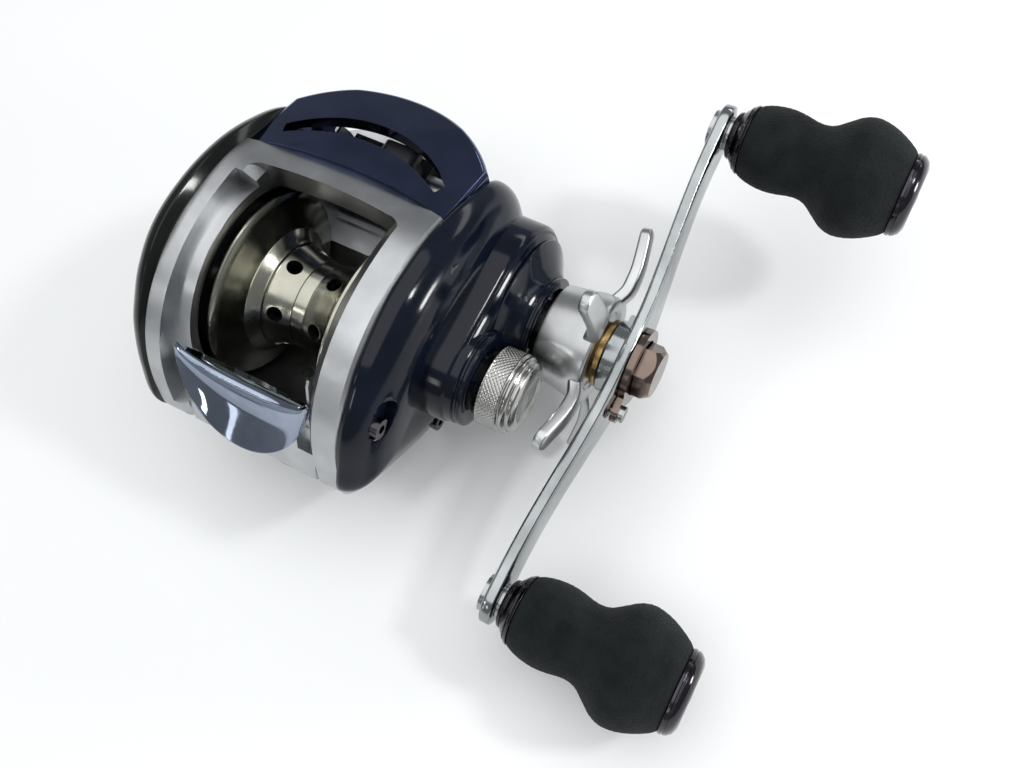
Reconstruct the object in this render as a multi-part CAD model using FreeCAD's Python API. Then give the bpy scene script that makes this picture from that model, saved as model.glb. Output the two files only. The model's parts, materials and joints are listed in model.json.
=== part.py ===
"""Low-profile baitcasting fishing reel, right-hand crank with two foam knobs.

Millimetres. +X runs along the spool axis to the crank side, +Y is the way the line leaves, +Z is up.
The origin is on the underside of the reel foot, straight below the spool axis.
"""
import FreeCAD, Part
import math
import os

os.makedirs("parts", exist_ok=True)

# Axes that run along X, as (y, z)
SPOOL_HEIGHT = 22.0                     # spool axis above the foot's underside
SPOOL = (0.0, SPOOL_HEIGHT)
GEAR_MODULE = 0.4                       # main gear and pinion
MAIN_TEETH = 75
PINION_TEETH = 13
DRIVE_ANGLE = math.radians(-22.1)       # direction from the spool axis to the crank axis
DRIVE_CENTRES = GEAR_MODULE * (MAIN_TEETH + PINION_TEETH) / 2
DRIVE = (DRIVE_CENTRES * math.cos(DRIVE_ANGLE), SPOOL_HEIGHT + DRIVE_CENTRES * math.sin(DRIVE_ANGLE))
WIND_MODULE = 0.4                       # level-wind gears
WIND_TEETH = 60
WORM_TEETH = 15
WORM_ANGLE = math.radians(33.9)         # direction from the crank axis to the worm axis
WORM_CENTRES = WIND_MODULE * (WIND_TEETH + WORM_TEETH) / 2
WORM = (DRIVE[0] + WORM_CENTRES * math.cos(WORM_ANGLE), DRIVE[1] + WORM_CENTRES * math.sin(WORM_ANGLE))
GUIDE_ROD = (WORM[0] - 4.6, WORM[1] - 6.6)

FIT = 0.05                              # radial running clearance
GAP = 0.3                               # clearance between parts that only pass each other

# Frame
PLATE_IN = 13.0                         # inner face of each side plate
PLATE_OUT = 20.5                        # outer face of each side plate
BORE_R = 18.6                           # cylindrical well that the spool runs in
FOOT_TOP = 2.4
WELL_FLOOR = SPOOL_HEIGHT - 9.0         # floor of the level-wind bay
BAR_SPAN = 15.3                         # half the window's width at the frame's surface
STEP_X = 16.6                           # where the palm side's outer rail steps down to its inner ring
STEP_R = 20.6                           # the inner ring's outer radius
WALL_TOP = 2.4                          # top of the rear wall above the spool axis
LIP_BACK = 34.3                         # back of the wall that closes the front of the bay

# Hood
HOOD_SEAT = 8.0                         # height of the hood's lower edge above the spool axis
HOOD_CROWN = 115.0                      # radius of the roof across the reel
BAR_UNDER = 10.4                        # underside of the hood's front bar above the spool axis

# Screws, rivets and posts
RIVETS = [(x, y) for x in (-4.0, 4.0) for y in (-8.5, 11.5)]
HOOD_SCREW_X = 18.2
HOOD_SCREW_Y = 25.0
PALM_SCREW = (23.0, SPOOL_HEIGHT + 5.0)
COVER_SCREWS = [(-18.0, SPOOL_HEIGHT + 9.2), (9.0, SPOOL_HEIGHT + 16.8), (-6.5, SPOOL_HEIGHT - 14.0)]
YOKE_POSTS = [(2.3, SPOOL_HEIGHT + 5.75), (-2.3, SPOOL_HEIGHT - 5.75)]
POST_R = 0.8

# Spool
FLANGE_R = 18.0
SPOOL_HALF = 12.0

# Crank side
COVER_FACE = 32.5                       # flat rim of the gear cover
COVER_NOSE = 37.0
CREST_R = 17.3                          # rim of the gear cover about the crank axis
GEAR_X = 23.0
GEAR_WIDTH = 3.0

# Crank
CRANK_RADIUS = 47.4
CRANK_TILT = 10.5                       # degrees, front knob up
ARM_X = 53.6                            # middle of the arm's plate at the crank axis
ARM_END_X = 50.6                        # middle of the arm's plate at its tips
ARM_THICK = 2.5
KNOB_IN = 55.8
KNOB_OUT = 87.4
SPINDLE_R = 2.0

# Frame and foot
HOOD_HALF = PLATE_OUT

# Palm side
PALM_OUT = -26.0
MAGNET_SPOTS = [60.0 * i for i in range(6)]

# Spool, pinion and clutch
BAR_LEAN = math.radians(22.5)           # slant of the bar from upright
BAR_TOP = (-21.0, SPOOL_HEIGHT + 9.5)   # middle of its straight top edge
BAR_HALF = 13.6
BAR_DEPTH = 15.2
RECESS_HALF = 14.0
LIP_REACH = 3.4                         # how far the lip reaches in from the bar's face
BAR_THICK = 2.6
BAR_TRAVEL = 4.0
CAM_X = (21.0, 22.0)

# Level wind
WORM_R = 2.2
TUBE_R = 3.1
GUIDE_X = 2.0                           # where the line guide stands
GUIDE_HALF = 4.2
EYE_RISE = 5.4                          # eye above the worm axis
EYE_R = 1.45
RING_R = 1.9
PAWL_LOW = 9.6                          # bottom of the guide block below the worm axis

# Gear cover and drive
SHAFT_R = 3.0

# Star drag and crank
STAR_ANGLES = [23 + 72 * i for i in range(5)]
STAR_REACH = 21.4                       # centre of an arm's round tip from the crank axis
LOCK_SCREW = (DRIVE[0] - 9.0, DRIVE[1])   # nut's locking screw before the crank is tilted
NUT_X = ARM_X + ARM_THICK / 2


def vec(x, y, z):
    return FreeCAD.Vector(x, y, z)


def cyl(x0, x1, r, axis):
    """Solid cylinder along X about axis = (y, z)."""
    return Part.makeCylinder(r, x1 - x0, vec(x0, axis[0], axis[1]), vec(1, 0, 0))


def tube(x0, x1, r_out, r_in, axis):
    return cyl(x0, x1, r_out, axis).cut(cyl(x0 - 1, x1 + 1, r_in, axis))


def turned(profile, axis):
    """Solid of revolution about X through axis; profile is a closed run of (x, r)."""
    points = [vec(x, axis[0] + r, axis[1]) for x, r in profile]
    face = Part.Face(Part.makePolygon(points + points[:1]))
    return face.revolve(vec(0, axis[0], axis[1]), vec(1, 0, 0), 360)


def box(x0, x1, y0, y1, z0, z1):
    return Part.makeBox(x1 - x0, y1 - y0, z1 - z0, vec(x0, y0, z0))


def slab(outline, x0, x1, smooth=True):
    """Plate between x0 and x1 with an outline of (y, height above the spool axis) points."""
    points = [vec(x0, y, SPOOL_HEIGHT + h) for y, h in outline]
    if smooth:
        curve = Part.BSplineCurve()
        curve.interpolate(Points=points, PeriodicFlag=True)
        wire = Part.Wire(curve.toShape())
    else:
        wire = Part.makePolygon(points + points[:1])
    return Part.Face(wire).extrude(vec(x1 - x0, 0, 0))


def plan(edges, z0, z1):
    """Prism along Z over edges: two points make a line, three make an arc, all as (x, y)."""
    shapes = []
    for run in edges:
        points = [vec(x, y, z0) for x, y in run]
        if len(points) == 2:
            shapes.append(Part.LineSegment(*points).toShape())
        else:
            shapes.append(Part.Arc(*points).toShape())
    return Part.Face(Part.Wire(shapes)).extrude(vec(0, 0, z1 - z0))


def egg(x0, x1, a, ra, b, rb):
    """Plate that wraps two circles on X axes a and b with their outer tangents."""
    dy, dz = b[0] - a[0], b[1] - a[1]
    far = math.hypot(dy, dz)
    along = math.atan2(dz, dy)
    lean = math.acos((ra - rb) / far)

    def rim(c, r, angle):
        return vec(x0, c[0] + r * math.cos(angle), c[1] + r * math.sin(angle))

    edges = [
        Part.LineSegment(rim(a, ra, along + lean), rim(b, rb, along + lean)).toShape(),
        Part.Arc(rim(b, rb, along + lean), rim(b, rb, along), rim(b, rb, along - lean)).toShape(),
        Part.LineSegment(rim(b, rb, along - lean), rim(a, ra, along - lean)).toShape(),
        Part.Arc(rim(a, ra, along - lean), rim(a, ra, along + math.pi), rim(a, ra, along + lean)).toShape(),
    ]
    return Part.Face(Part.Wire(edges)).extrude(vec(x1 - x0, 0, 0))


def outer_edges(shape, x):
    """Edges that lie wholly in the plane at x."""
    return [e for e in shape.Edges
            if abs(e.BoundBox.XMin - x) < 1e-3 and abs(e.BoundBox.XMax - x) < 1e-3]


def fuse(shapes):
    shapes = list(shapes)
    return shapes[0].multiFuse(shapes[1:]).removeSplitter() if len(shapes) > 1 else shapes[0]


def spin(shape, degrees, axis):
    """Copy of shape turned about the X axis through axis."""
    return shape.rotated(vec(0, axis[0], axis[1]), vec(1, 0, 0), degrees)


def save(node, shape):
    """Write one node; a node may hold several separate solids."""
    solids = shape.Solids
    if not solids or not shape.isValid():
        raise ValueError("bad solid in " + node)
    out = solids[0] if len(solids) == 1 else Part.makeCompound(solids)
    out.exportStep("parts/" + node + ".step")
    print(node, len(solids), round(sum(s.Volume for s in solids), 2))


def gear(x0, x1, teeth, module, axis, phase, bore):
    """Spur gear with straight-sided teeth; a tooth stands at angle phase, measured from +Y to +Z."""
    pitch_r = module * teeth / 2
    root_r = pitch_r - 1.25 * module
    tip_r = pitch_r + 0.85 * module
    points = []
    for i in range(teeth):
        middle = phase + 2 * math.pi * i / teeth
        for r, share in ((root_r, -0.27), (tip_r, -0.085), (tip_r, 0.085), (root_r, 0.27)):
            angle = middle + share * 2 * math.pi / teeth
            points.append(vec(x0, axis[0] + r * math.cos(angle), axis[1] + r * math.sin(angle)))
    blank = Part.Face(Part.makePolygon(points + points[:1])).extrude(vec(x1 - x0, 0, 0))
    return blank.cut(cyl(x0 - 1, x1 + 1, bore, axis))


# ---------------------------------------------------------------- frame and foot

FRAME_OUTLINE = [
    (-27.6, -5), (-25.4, 3.5), (-21.3, 11.5), (-13.4, 18.6), (-3, 22.3), (4.5, 22.6), (10.5, 21.9),
    (15.9, 20.0), (20, 17.6), (25, 14.6), (31, 8.8), (33.4, 1), (31.6, -8), (24, -15), (12, -19.8), (0, -20.4),
    (-12, -19.8), (-22, -14.5),
]


def hood_plan():
    """Block over the hood's seat, curved front and back in plan."""
    return plan([
        [(-HOOD_HALF, 15.9), (0, 18.4), (HOOD_HALF, 15.9)], [(HOOD_HALF, 15.9), (HOOD_HALF, 29.6)],
        [(HOOD_HALF, 29.6), (0, 39.5), (-HOOD_HALF, 29.6)], [(-HOOD_HALF, 29.6), (-HOOD_HALF, 15.9)],
    ], SPOOL_HEIGHT + HOOD_SEAT, SPOOL_HEIGHT + 40)


def hood_envelope():
    """Unhollowed hood: sloping roof ahead of the crossbar, round front in plan."""
    roof = [(15.0, 20.3), (22, 19.0), (29, 16.9), (35.5, 14.4), (41, 11.8)]
    points = [vec(-HOOD_HALF, y, SPOOL_HEIGHT + h) for y, h in roof]
    crown = Part.BSplineCurve()
    crown.interpolate(points)
    front = vec(-HOOD_HALF, roof[-1][0], SPOOL_HEIGHT + HOOD_SEAT)
    back = vec(-HOOD_HALF, roof[0][0], SPOOL_HEIGHT + HOOD_SEAT)
    sides = Part.makePolygon([points[-1], front, back, points[0]])
    body = Part.Face(Part.Wire([crown.toShape()] + sides.Edges)).extrude(vec(2 * HOOD_HALF, 0, 0))
    along = vec(0, 26, -8.5)
    start = vec(0, 5, SPOOL_HEIGHT + 24.77) - vec(0, 0.311, 0.95) * HOOD_CROWN
    return body.common(hood_plan()).common(Part.makeCylinder(HOOD_CROWN, 50, start, along))


def rail_step():
    """Room that lowers the palm side's inner ring below its outer rail, behind the front bar."""
    room = box(-STEP_X, -PLATE_IN + 1, -40, 9.0, SPOOL_HEIGHT - 3, SPOOL_HEIGHT + 30)
    return room.cut(cyl(-STEP_X - 1, -PLATE_IN + 2, STEP_R, SPOOL))


def window():
    """Plan of the opening over the spool, with rounded front corners."""
    return plan([
        [(-BAR_SPAN, 8.9), (-14.5, 11.2), (-12.4, 12.1)], [(-12.4, 12.1), (0, 13.0), (12.4, 12.1)],
        [(12.4, 12.1), (14.5, 11.2), (BAR_SPAN, 8.9)], [(BAR_SPAN, 8.9), (BAR_SPAN, -17.5)],
        [(BAR_SPAN, -17.5), (-BAR_SPAN, -17.5)], [(-BAR_SPAN, -17.5), (-BAR_SPAN, 8.9)],
    ], SPOOL_HEIGHT + 4, SPOOL_HEIGHT + 40)


def front_lip():
    """Low curved wall that closes the front of the level-wind bay under the line."""
    wall = plan([
        [(-17, 30), (17, 30)], [(17, 30), (17, 32.6)], [(17, 32.6), (0, 38.3), (-17, 32.6)], [(-17, 32.6), (-17, 30)],
    ], WELL_FLOOR - 2.5, SPOOL_HEIGHT + 2.6)
    return wall.cut(box(-PLATE_IN, PLATE_IN, 20, LIP_BACK, WELL_FLOOR, SPOOL_HEIGHT + 10))


def frame_core():
    """Cross members between the side plates: front bar, bay floor and rear wall."""
    top = SPOOL_HEIGHT + 40
    core = slab(FRAME_OUTLINE, -PLATE_IN - 0.5, PLATE_IN + 0.5).cut(window())
    core = core.cut(box(-PLATE_IN, PLATE_IN, -40, -17, SPOOL_HEIGHT + WALL_TOP, top))
    core = core.cut(box(-PLATE_IN, PLATE_IN, 18.4, 45, WELL_FLOOR, top))
    core = core.cut(box(-PLATE_IN, PLATE_IN, 10, 45, WELL_FLOOR, SPOOL_HEIGHT + 15.2))
    ribs = [box(-PLATE_IN - 0.4, PLATE_IN + 0.4, y, y + 1.2, WELL_FLOOR - 1, WELL_FLOOR + 1) for y in (21, 24.5, 28)]
    return core.multiFuse(ribs)


def frame():
    plates = []
    for inner, outer in ((-PLATE_IN, -PLATE_OUT), (PLATE_IN, PLATE_OUT)):
        plate = slab(FRAME_OUTLINE, min(inner, outer), max(inner, outer))
        plate = plate.makeChamfer(2.0, outer_edges(plate, inner))
        plates.append(plate.makeChamfer(0.8, outer_edges(plate, outer)))
    bar = slab(FRAME_OUTLINE, -BAR_SPAN + 0.1, BAR_SPAN - 0.1)
    bar = bar.common(box(-20, 20, 8.5, 24, SPOOL_HEIGHT + 15.2, SPOOL_HEIGHT + 30)).cut(window())
    body = plates[0].multiFuse([plates[1], frame_core()]).fuse(bar).fuse(front_lip())
    body = body.cut(rail_step())
    recess = [on_bar(-RECESS_HALF, down, out) for down, out in ((-20, -0.4), (20, -0.4), (20, 20), (-20, 20))]
    body = body.cut(Part.Face(Part.makePolygon(recess + recess[:1])).extrude(vec(2 * RECESS_HALF, 0, 0)))
    body = body.cut(cyl(-PLATE_OUT - 1, SPOOL_HALF + 0.6, BORE_R, SPOOL))
    body = body.cut(hood_plan())
    body = body.cut(box(-30, 30, -40, 40, -5, FOOT_TOP))
    for x0, x1, r, axis in (
        (12, 21, 3.2, SPOOL), (17.5, 21, 4.5, SPOOL),
        (15.5, 21, 4.0, DRIVE), (-18.0, -12, 3.4, WORM), (12, 21, 3.4, WORM),
        (-16.0, -12, 1.2, GUIDE_ROD), (12, 16, 1.2, GUIDE_ROD),
    ):
        body = body.cut(cyl(x0, x1, r, axis))
    for y, z in YOKE_POSTS:
        body = body.cut(cyl(17.5, 21, POST_R, (y, z)))
    body = body.cut(cam_slot())
    for x, y in RIVETS:
        body = body.cut(Part.makeCylinder(1.3, 4.0, vec(x, y, FOOT_TOP - 0.5)))
    for axis in COVER_SCREWS:
        body = body.cut(cyl(18.5, 21, 1.0, axis))
    for x in (-HOOD_SCREW_X, HOOD_SCREW_X):
        body = body.cut(Part.makeCylinder(0.95, 5, vec(x, HOOD_SCREW_Y, SPOOL_HEIGHT + 6.2)))
    return body.cut(cyl(-21, -17.5, 1.5, PALM_SCREW))


def reel_foot():
    """Long plate that a reel seat clamps, thin at both ends, with a raised middle."""
    side = [(-25.5, 0), (35.5, 0), (35.5, 0.9), (24.5, 2.0), (19.5, FOOT_TOP), (-13, FOOT_TOP), (-17, 2.0), (-25.5, 0.9)]
    side = [(y, z - SPOOL_HEIGHT) for y, z in side]
    body = slab(side, -7.0, 7.0, smooth=False)
    ends = plan([
        [(-7, -21.5), (0, -25.5), (7, -21.5)], [(7, -21.5), (7, 31.5)],
        [(7, 31.5), (0, 35.5), (-7, 31.5)], [(-7, 31.5), (-7, -21.5)],
    ], -1, 5)
    body = body.common(ends)
    for x, y in RIVETS:
        body = body.cut(Part.makeCylinder(1.3, 4.0, vec(x, y, -0.5)))
        body = body.cut(Part.makeCone(2.3, 1.3, 1.0, vec(x, y, 0)))
    return body


def foot_rivets():
    shapes = []
    for x, y in RIVETS:
        shank = Part.makeCylinder(1.3, 5.7, vec(x, y, 0.2))
        head = Part.makeCone(2.1, 1.3, 0.8, vec(x, y, 0.2))
        shapes.append(shank.fuse(head).removeSplitter())
    return Part.makeCompound(shapes)


# ---------------------------------------------------------------- palm side

PALM_OUTLINE = [
    (-27.9, -6), (-25.8, 3), (-21.8, 11.3), (-18.0, 16), (-14.2, 19.6), (-9, 22.8), (-3.5, 24.4),
    (3, 24.7), (9, 24.0), (15, 22.3), (21, 19.3), (27, 15.0), (32, 8.5), (34.6, 1), (32.6, -8), (25, -15.5),
    (12, -19.2), (0, -19.5), (-12, -19.2), (-22.5, -15),
]


def palm_side_plate():
    plate = slab(PALM_OUTLINE, PALM_OUT, -PLATE_OUT)
    plate = plate.makeChamfer(2.4, outer_edges(plate, PALM_OUT))
    plate = plate.makeFillet(0.8, outer_edges(plate, PALM_OUT))
    plate = plate.cut(cyl(-24.2, -PLATE_OUT + 1, 16.2, SPOOL))
    ring = tube(-PLATE_OUT, -14.6, BORE_R - FIT, 16.2, SPOOL)
    hub = tube(-24.4, -14.6, 6.2, 4.5, SPOOL)
    spokes = [spin(box(-24.4, -20.0, 5.5, 17.0, SPOOL_HEIGHT - 0.8, SPOOL_HEIGHT + 0.8), 30 + 60 * i, SPOOL)
              for i in range(6)]
    body = fuse([plate, ring, hub] + spokes)
    body = body.cut(tube(-27, -25.0, 9.6, 4.5, SPOOL))
    body = body.cut(cyl(-27, -24.0, 1.5 + FIT, SPOOL))
    body = body.cut(cyl(-24.6, -20, 1.5, PALM_SCREW))
    return body.cut(cyl(-27, -24.6, 2.6, PALM_SCREW))


def palm_screw():
    """Coin-slot screw that holds the palm side plate."""
    head = cyl(-26.2, -24.6, 2.5, PALM_SCREW)
    shank = cyl(-24.6, -17.5, 1.5, PALM_SCREW)
    slot = box(-27, -25.6, PALM_SCREW[0] - 3, PALM_SCREW[0] + 3, PALM_SCREW[1] - 0.4, PALM_SCREW[1] + 0.4)
    return head.fuse(shank).removeSplitter().cut(slot)


def brake_dial():
    """Knurled ring on the palm side that sets how near the magnets stand to the spool."""
    body = turned([(-28.4, 0.01), (-28.4, 6.5), (-27.6, 9.0), (-25.0, 9.4), (-25.0, 4.6), (-26.2, 4.6),
                   (-26.2, 0.01)], SPOOL)
    grips = [cyl(-29, -24.5, 0.5, (SPOOL[0] + 9.5 * math.cos(a), SPOOL[1] + 9.5 * math.sin(a)))
             for a in [math.radians(15 * i) for i in range(24)]]
    body = body.cut(Part.makeCompound(grips))
    finger = egg(-29, -27.9, SPOOL, 1.2, (SPOOL[0], SPOOL[1] + 5.0), 0.8)
    return body.cut(finger).fuse(cyl(-26.4, -24.6, 1.5, SPOOL)).removeSplitter()


def magnet_carrier():
    body = tube(-16.2, -15.2, 15.2, 6.2 + FIT, SPOOL)
    for spot in MAGNET_SPOTS:
        body = body.cut(spin(cyl(-15.8, -15, 1.9, (11.5, SPOOL_HEIGHT)), spot, SPOOL))
    return body


def brake_magnets():
    return Part.makeCompound([spin(cyl(-15.8, -14.8, 1.9, (11.5, SPOOL_HEIGHT)), s, SPOOL) for s in MAGNET_SPOTS])


def ball_bearing(x0, x1, r_out, r_in, axis, balls):
    """Two races and a set of balls, as separate solids that just clear each other."""
    mid = (r_out + r_in) / 2
    ball_r = (r_out - r_in) * 0.2
    groove = Part.makeTorus(mid, ball_r + 0.02, vec((x0 + x1) / 2, axis[0], axis[1]), vec(1, 0, 0))
    outer = tube(x0, x1, r_out, mid + ball_r * 0.55, axis).cut(groove)
    inner = tube(x0, x1, mid - ball_r * 0.55, r_in, axis).cut(groove)
    shapes = [outer, inner]
    for i in range(balls):
        a = 2 * math.pi * i / balls
        shapes.append(Part.makeSphere(ball_r, vec((x0 + x1) / 2, axis[0] + mid * math.cos(a),
                                                  axis[1] + mid * math.sin(a))))
    return Part.makeCompound(shapes)


# ---------------------------------------------------------------- spool, pinion and clutch

def spool():
    """Waisted arbor between two dished flanges, with two rings of lightening holes."""
    profile = [
        (-12.0, 17.0), (-11.6, FLANGE_R), (-11.0, FLANGE_R), (-10.4, 16.9), (-9.0, 13.6), (-7.0, 10.6),
        (-4.5, 9.0), (-1.5, 8.3), (1.5, 8.3), (4.5, 9.0), (7.0, 10.6), (9.0, 13.6), (10.4, 16.9),
        (11.0, FLANGE_R), (11.6, FLANGE_R), (12.0, 17.0), (11.3, 15.9), (10.0, 13.0), (8.2, 9.8), (6.0, 7.9),
        (3.0, 7.0), (1.4, 7.0), (1.4, 1.5), (-1.4, 1.5), (-1.4, 7.0), (-3.0, 7.0), (-6.0, 7.9), (-8.2, 9.8),
        (-10.0, 13.0), (-11.3, 15.9),
    ]
    body = turned(profile, SPOOL)
    drills = []
    for x in (-4.2, 4.2):
        for i in range(6):
            hole = Part.makeCylinder(1.45, 14, vec(x, 0, SPOOL_HEIGHT), vec(0, 1, 0))
            drills.append(spin(hole, 20 + 60 * i, SPOOL))
    return body.cut(Part.makeCompound(drills))


def spool_shaft():
    body = cyl(-19.0, 32.4, 1.2, SPOOL)
    seat = cyl(-1.4, 1.4, 1.5, SPOOL)
    collar = cyl(1.4, 12.4, 2.4, SPOOL)
    left = cyl(-12.4, -1.4, 2.4, SPOOL)
    return fuse([body, seat, collar, left]).cut(cross_pin())


def cross_pin():
    return Part.makeCylinder(0.5, 4.4, vec(15.6, SPOOL[0] - 2.2, SPOOL[1]), vec(0, 1, 0))


def pinion_gear():
    """Sliding pinion: slotted clutch end, teeth and a waist for the yoke."""
    phase = math.atan2(DRIVE[1] - SPOOL[1], DRIVE[0] - SPOOL[0]) + math.pi / PINION_TEETH
    teeth = gear(21.4, 28.0, PINION_TEETH, GEAR_MODULE, SPOOL, phase, 1.25)
    hub = tube(15.0, 21.4, 2.6, 1.25, SPOOL)
    waist = tube(28.0, 29.6, 1.9, 1.25, SPOOL)
    rim = tube(29.6, 30.4, 2.7, 1.25, SPOOL)
    body = fuse([hub, teeth, waist, rim])
    return body.cut(box(14, 16.3, -3, 3, SPOOL_HEIGHT - 0.65, SPOOL_HEIGHT + 0.65))


def clutch_yoke():
    """Fork that sits in the pinion's waist and slides along two posts."""
    a, b = YOKE_POSTS
    body = egg(28.25, 29.35, SPOOL, 3.5, a, 1.7).fuse(egg(28.25, 29.35, SPOOL, 3.5, b, 1.7)).removeSplitter()
    for post in YOKE_POSTS:
        body = body.cut(cyl(28, 30, POST_R + FIT, post))
    body = body.cut(cyl(28, 30, 1.9 + FIT, SPOOL))
    return body.cut(box(28, 30, 0, 8, SPOOL_HEIGHT - 1.95, SPOOL_HEIGHT + 1.95))


def yoke_posts():
    return Part.makeCompound([cyl(17.5, 31.2, POST_R, post) for post in YOKE_POSTS])


def yoke_springs():
    """Two short stacks of rings joined in a zigzag, one on each post."""
    shapes = []
    for y, z in YOKE_POSTS:
        turns = [Part.makeTorus(1.2, 0.15, vec(29.7 + 0.45 * i, y, z), vec(1, 0, 0)) for i in range(3)]
        links = [cyl(29.7 + 0.45 * i, 30.15 + 0.45 * i, 0.12, (y + 1.2 - 2.4 * i, z)) for i in range(2)]
        shapes.append(turns[0].multiFuse(turns[1:] + links))
    return Part.makeCompound(shapes)


# The thumb bar lies on the slanted back of the frame and slides down along it


def on_bar(across, down, out):
    """Point on the slanted bar: across along X, down its face, out towards the thumb."""
    y = BAR_TOP[0] - down * math.sin(BAR_LEAN) - out * math.cos(BAR_LEAN)
    z = BAR_TOP[1] - down * math.cos(BAR_LEAN) + out * math.sin(BAR_LEAN)
    return vec(across, y, z)


def bar_wire(half, sag, low, depth, out):
    """Crescent in the bar's plane: sagging top edge, short sides and a round bottom."""
    ends = [(-half, sag, out), (half, sag, out)]
    return Part.Wire([
        Part.Arc(on_bar(*ends[0]), on_bar(0, 0.4, out), on_bar(*ends[1])).toShape(),
        Part.LineSegment(on_bar(*ends[1]), on_bar(half, low, out)).toShape(),
        Part.Arc(on_bar(half, low, out), on_bar(0, depth, out), on_bar(-half, low, out)).toShape(),
        Part.LineSegment(on_bar(-half, low, out), on_bar(*ends[0])).toShape(),
    ])


def thumb_bar():
    """Crescent plate with a lip that reaches over the rear wall towards the spool."""
    way = on_bar(0, 0, BAR_THICK) - on_bar(0, 0, 0)
    body = Part.Face(bar_wire(BAR_HALF, -1.2, 3.4, BAR_DEPTH, 0)).extrude(way)
    rim = [e for e in body.Edges if min(on_rim(v.Point) for v in e.Vertexes) > BAR_THICK - 0.01]
    body = body.makeFillet(0.9, rim)
    inward = on_bar(0, 0, -LIP_REACH) - on_bar(0, 0, 0)
    lip = Part.Face(bar_wire(PLATE_IN - 0.3, -1.0, 0.6, 1.9, 0.8)).extrude(inward)
    tab = cam_tab(0.0, 11.0, CAM_X[0])
    return fuse([body, lip, tab])


def on_rim(point):
    """How far a point stands out of the bar's back face."""
    base = on_bar(0, 0, 0)
    normal = on_bar(0, 0, 1) - base
    return (point - base).dot(normal)


TAB_TOP, TAB_LOW, TAB_IN, TAB_OUT = 5.0, 7.2, -1.6, 0.5


def cam_tab(grow, x0, x1, extra=0.0):
    """Tab from the bar through the gear-side plate, grown by a clearance and run on down its travel."""
    corners = [(TAB_TOP - grow, TAB_IN - grow), (TAB_LOW + grow + extra, TAB_IN - grow),
               (TAB_LOW + grow + extra, TAB_OUT + grow), (TAB_TOP - grow, TAB_OUT + grow)]
    points = [on_bar(x0, down, out) for down, out in corners]
    return Part.Face(Part.makePolygon(points + points[:1])).extrude(vec(x1 - x0, 0, 0))


def cam_slot():
    return cam_tab(GAP, 10.0, PLATE_OUT + 1, BAR_TRAVEL)


def clutch_cam():
    """Flat kick plate inside the gear cover that carries the bar's movement to the yoke."""
    outline = [(-23.2, 5.0), (-21.0, 6.2), (-15, 5.0), (-9, 3.4), (-8.0, 0.8), (-10, -1.0), (-16, 0.2),
               (-22.4, 2.2)]
    body = slab(outline, CAM_X[0], CAM_X[1], smooth=False)
    ramp = slab([(-11.5, 2.8), (-9, 2.4), (-9, 0.6), (-11.5, 0.8)], CAM_X[1] - 0.2, CAM_X[1] + 1.4, smooth=False)
    return fuse([body, ramp])


# ---------------------------------------------------------------- level wind


def worm_shaft():
    body = cyl(-17.8, 22.8, 1.4, WORM)
    return fuse([body, cyl(-15.0, 15.0, WORM_R, WORM)])


def worm_bushes():
    return Part.makeCompound([tube(-18.0, -15.2, 3.4, 1.4 + FIT, WORM), tube(17.6, 20.5, 3.4, 1.4 + FIT, WORM)])


def worm_guard():
    """Split tube round the worm, open underneath for the pawl."""
    body = tube(-15.2, 15.2, TUBE_R, WORM_R + 0.2, WORM)
    return body.cut(box(-13.2, 13.2, WORM[0] - 1.3, WORM[0] + 1.3, WORM[1] - 5, WORM[1] - 1))


def guide_rod():
    return cyl(-16.0, 16.0, 1.2, GUIDE_ROD)


def line_guide():
    """Block that rides on the guard tube and the rod, with an eye for the line above."""
    x0, x1 = GUIDE_X - GUIDE_HALF, GUIDE_X + GUIDE_HALF
    y, z = WORM
    body = box(x0, x1, y - 6.6, y + 3.9, z - PAWL_LOW, z + 3.7)
    tower = box(x0 + 0.8, x1 - 0.8, y - 3.0, y + 1.0, z + 3.0, z + 8.4)
    cap = box(x0 + 0.4, x1 - 0.4, y - 4.6, y + 1.6, z + 8.2, z + 10.4)
    cap = cap.makeFillet(1.6, [e for e in cap.Edges if e.BoundBox.ZMin > z + 10.3 and e.BoundBox.YLength > 1])
    body = fuse([body, tower, cap])
    body = body.cut(cyl(x0 - 1, x1 + 1, TUBE_R + FIT, WORM))
    body = body.cut(cyl(x0 - 1, x1 + 1, 1.2 + FIT, GUIDE_ROD))
    body = body.cut(Part.makeCylinder(RING_R, 12, vec(GUIDE_X, y - 6, z + EYE_RISE), vec(0, 1, 0)))
    for start in (-3.5, 1.0):
        body = body.cut(Part.makeCylinder(2.3, 0.5, vec(GUIDE_X, y + start, z + EYE_RISE), vec(0, 1, 0)))
    body = body.cut(Part.makeCylinder(1.1, 7.0, vec(GUIDE_X, y, z - PAWL_LOW - 0.1)))
    return body.cut(Part.makeCylinder(1.8, 1.5, vec(GUIDE_X, y, z - PAWL_LOW - 0.1)))


def line_guide_ring():
    """Hard ring pressed into the eye, with a flared mouth at each end."""
    y, z = WORM[0], WORM[1] + EYE_RISE
    wall = Part.makeCylinder(RING_R, 4.0, vec(GUIDE_X, y - 3.0, z), vec(0, 1, 0))
    mouths = [Part.makeCylinder(2.25, 0.5, vec(GUIDE_X, y + s, z), vec(0, 1, 0)) for s in (-3.5, 1.0)]
    bore = Part.makeCylinder(EYE_R, 9, vec(GUIDE_X, y - 5.5, z), vec(0, 1, 0))
    return fuse([wall] + mouths).cut(bore)


def pawl():
    """Pin with a crescent tip that follows the worm's groove."""
    x, y, z = GUIDE_X, WORM[0], WORM[1]
    stem = Part.makeCylinder(1.1, 5.0, vec(x, y, z - 8.1))
    tip = box(x - 0.9, x + 0.9, y - 0.35, y + 0.35, z - 3.2, z - WORM_R - 0.35)
    return fuse([stem, tip])


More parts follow.
